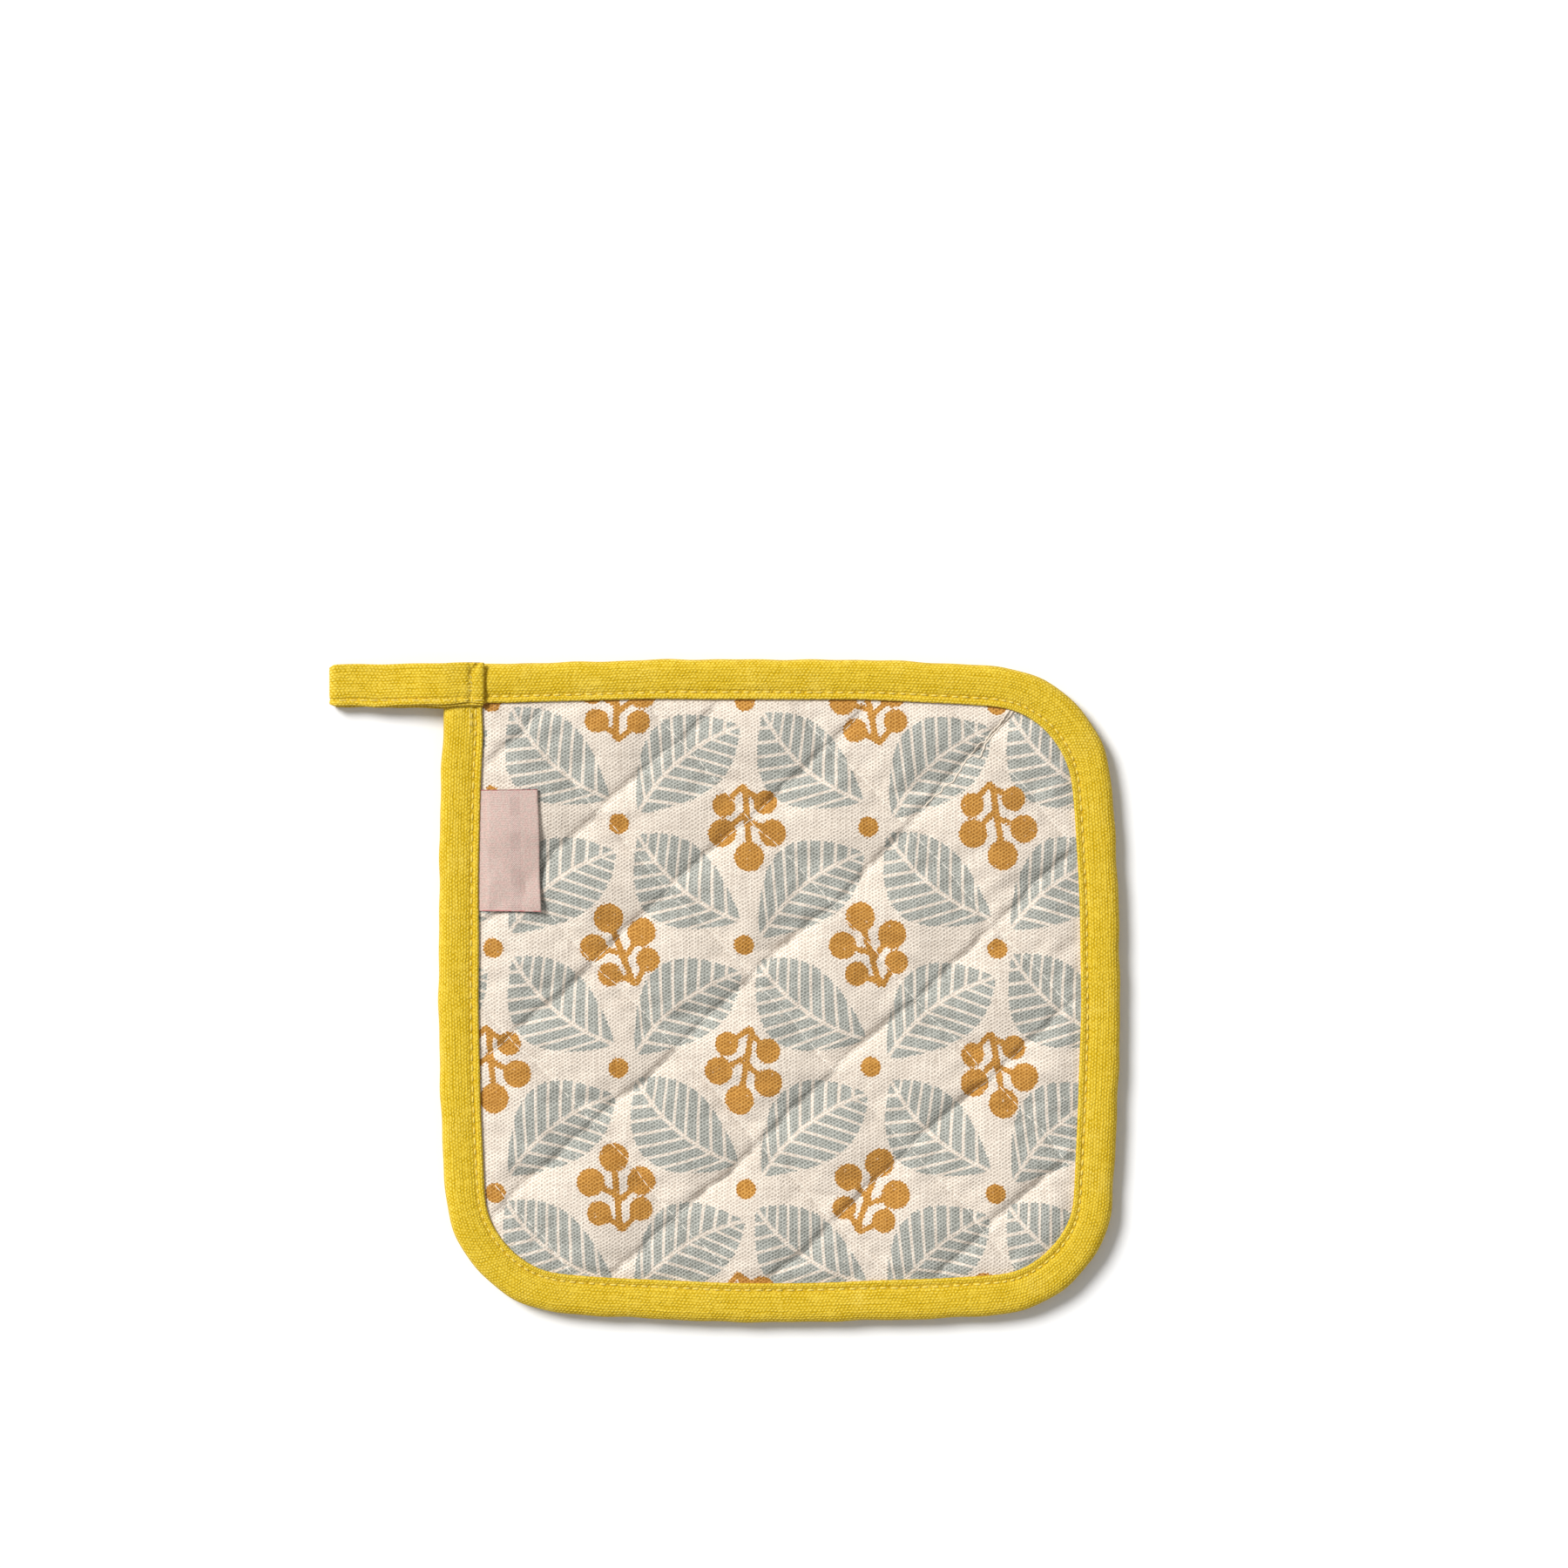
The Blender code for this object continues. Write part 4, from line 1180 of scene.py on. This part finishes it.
def label_material():
    """Pink satin ribbon: thin red woven edges with a faint dashed line inside them, slanting floats in a
    band, and a fine speckle where the floats end."""
    material, tree, shader = new_material("label_satin_pink", 0.5, 0.1)
    vector, v, u = coordinates(tree, "UV")
    rim = maths(tree, "SUBTRACT", LABEL_LENGTH / 2, maths(tree, "ABSOLUTE", v))
    frayed = ramp(tree, noise(tree, vector, 700.0, 2.0), 0.25, 0.55)
    edge = times(tree, ramp(tree, rim, 0.00045, 0.00015), frayed)
    dashes = times(tree, ramp(tree, rim, 0.00085, 0.00100), ramp(tree, rim, 0.00130, 0.00115))
    dashes = times(tree, dashes, ramp(tree, maths(tree, "PINGPONG", u, 0.00045), 0.00018, 0.00030))
    zig = maths(tree, "PINGPONG", v, 0.0052)
    slant = maths(tree, "FRACT", maths(tree, "DIVIDE", plus(tree, u, zig), 0.00062))
    band = times(tree, ramp(tree, u, 0.0088, 0.0094), ramp(tree, u, 0.0124, 0.0118))
    twill = times(tree, ramp(tree, slant, 0.2, 0.6), band)
    speckle = ramp(tree, noise(tree, stretched(tree, vector, (2300.0, 1700.0, 1.0)), 1.0, 1.0), 0.32, 0.68)
    ribs = scaled(tree, maths(tree, "SINE", times(tree, v, 2 * math.pi / 0.00052)), 0.5, 0.5)
    fine = scaled(tree, ribs, 0.3, times(tree, speckle, 0.7))
    tone = blend(tree, ramp(tree, noise(tree, vector, 900.0, 2.0), 0.4, 0.6), PINK_GREY, PINK)
    colour = blend(tree, 1.0, tone, blend(tree, fine, [0.85] * 3, [1.16] * 3), "MULTIPLY")
    colour = blend(tree, times(tree, twill, 0.22), colour, (0.36, 0.24, 0.24))
    colour = blend(tree, times(tree, dashes, 0.3), colour, (0.42, 0.16, 0.18))
    colour = blend(tree, times(tree, edge, 0.85), colour, RED)
    cover_with(tree, shader, colour, plus(tree, fine, twill), 0.00005)
    shader.inputs["Anisotropic"].default_value = 0.4
    return material


def fibre_material():
    """Cotton batting: matted fibres."""
    material, tree, shader = new_material("batting", 1.0, 0.1)
    vector = coordinates(tree, "Object")[0]
    matted = noise(tree, vector, 900.0, 5.0)
    cover_with(tree, shader, blend(tree, matted, shade(WADDING, 0.85), WADDING), matted, 0.0002)
    return material


def dress(piece, material, slot, *nodes):
    """Gives a piece its material and body, and hides the frame's nodes that it stands for. Its slot is not
    used.
    """
    piece.data.materials.clear()
    piece.data.materials.append(material)
    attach(piece, "root")
    if nodes:
        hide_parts(*nodes)
    return piece


# Build

front = Cloth(CLOTH_STEP)
print_at = print_fields(front.x, front.y)
quilt(front, FRONT_RISE, (0.010, 0.020), 20.0, 21)
front.z = MIDDLE + CLOTH_HALF + front.z - stitch_dips(front) - puckers(front, CREASES, 5)
back = Cloth(CLOTH_STEP)
quilt(back, BACK_RISE, (0.016, 0.020), 30.0, 27)
back.z = np.maximum(MIDDLE - CLOTH_HALF - back.z + stitch_dips(back) + puckers(back, (), 6), 0.00002)

cream_thread = thread_material("thread_cream", THREAD_CREAM)
loose_material = thread_material("thread_loose", THREAD_LOOSE)
yellow_thread = thread_material("thread_yellow", THREAD_YELLOW)
tape = canvas_tape("canvas_yellow")

front_piece = shell("front_canvas", front, front.z - COVER_THICKNESS, print_at)
dress(front_piece, canvas_cover("canvas_front", True), "canvas_print", "front_cover")
back_piece = shell("back_canvas", back, back.z + COVER_THICKNESS, {})
dress(back_piece, canvas_cover("canvas_back", False), "canvas_natural", "back_cover")
fill_piece = wadding_piece(front, back)
dress(fill_piece, fibre_material(), "cotton_wadding", "wadding")

binding, path = binding_piece()
dress(binding, tape, "binding_canvas", "edge_binding")
loop, loop_grid, loop_section = loop_piece()
dress(loop, tape, "binding_canvas", "hanging_loop")
label = label_piece(front)
dress(label, label_material(), "label_satin", "woven_label")

# The calls draw random numbers, so they keep this order
threads = (
    ("quilting_thread", cream_thread, "canvas_natural", [quilting_stitches(front, 1)]),
    ("loose_thread", loose_material, "canvas_natural", [loose_thread(front)]),
    ("quilting_thread_back", cream_thread, "canvas_natural", [quilting_stitches(back, -1)]),
    ("topstitch_thread", yellow_thread, "binding_canvas", [
        topstitches(path, 1), loop_stitches(loop_grid, loop_section), corner_stitches(),
    ]),
    ("topstitch_thread_back", yellow_thread, "binding_canvas", [topstitches(path, -1)]),
)
for name, material, slot, parts in threads:
    dress(make_piece(name, *joined(parts)), material, slot)

# Stage, light and camera

floor_mesh = bpy.data.meshes.new("floor")
floor_mesh.from_pydata([(-3, -3, 0), (3, -3, 0), (3, 3, 0), (-3, 3, 0)], [], [(0, 1, 2, 3)])
floor = placed("floor", floor_mesh)
floor_material = bpy.data.materials.new("floor_white")
floor_material.use_nodes = True
floor_inputs = floor_material.node_tree.nodes["Principled BSDF"].inputs
floor_inputs["Base Color"].default_value = (0.93, 0.93, 0.93, 1)
floor_inputs["Roughness"].default_value = 0.9
floor_inputs["Specular IOR Level"].default_value = 0.1
floor_mesh.materials.append(floor_material)

scene = bpy.context.scene
scene.view_settings.view_transform = "Standard"
world = bpy.data.worlds.new("studio")
world.use_nodes = True
sky_inputs = world.node_tree.nodes["Background"].inputs
sky_inputs["Color"].default_value = (1.0, 1.0, 1.0, 1)
sky_inputs["Strength"].default_value = 0.36
scene.world = world
sun = bpy.data.lights.new("window", "SUN")
sun.energy = 3.65
sun.angle = math.radians(22)
placed("window", sun).rotation_euler = (0.0, math.radians(-46), math.radians(-39))

# The camera looks straight down, from the distance at which a pixel of the photograph is PIXEL wide
camera_data = bpy.data.cameras.new("camera")
camera_data.lens = 100
camera_data.sensor_width = 36
camera_data.clip_start = 0.05
camera = placed("camera", camera_data)
distance = PHOTO_WIDTH * PIXEL * camera_data.lens / camera_data.sensor_width
off_x, off_y = PHOTO_WIDTH / 2 - PHOTO_MIDDLE[0], PHOTO_MIDDLE[1] - PHOTO_WIDTH / 2
camera.location = (PAD_X + off_x * PIXEL, off_y * PIXEL, 0.008 + distance)
scene.camera = camera
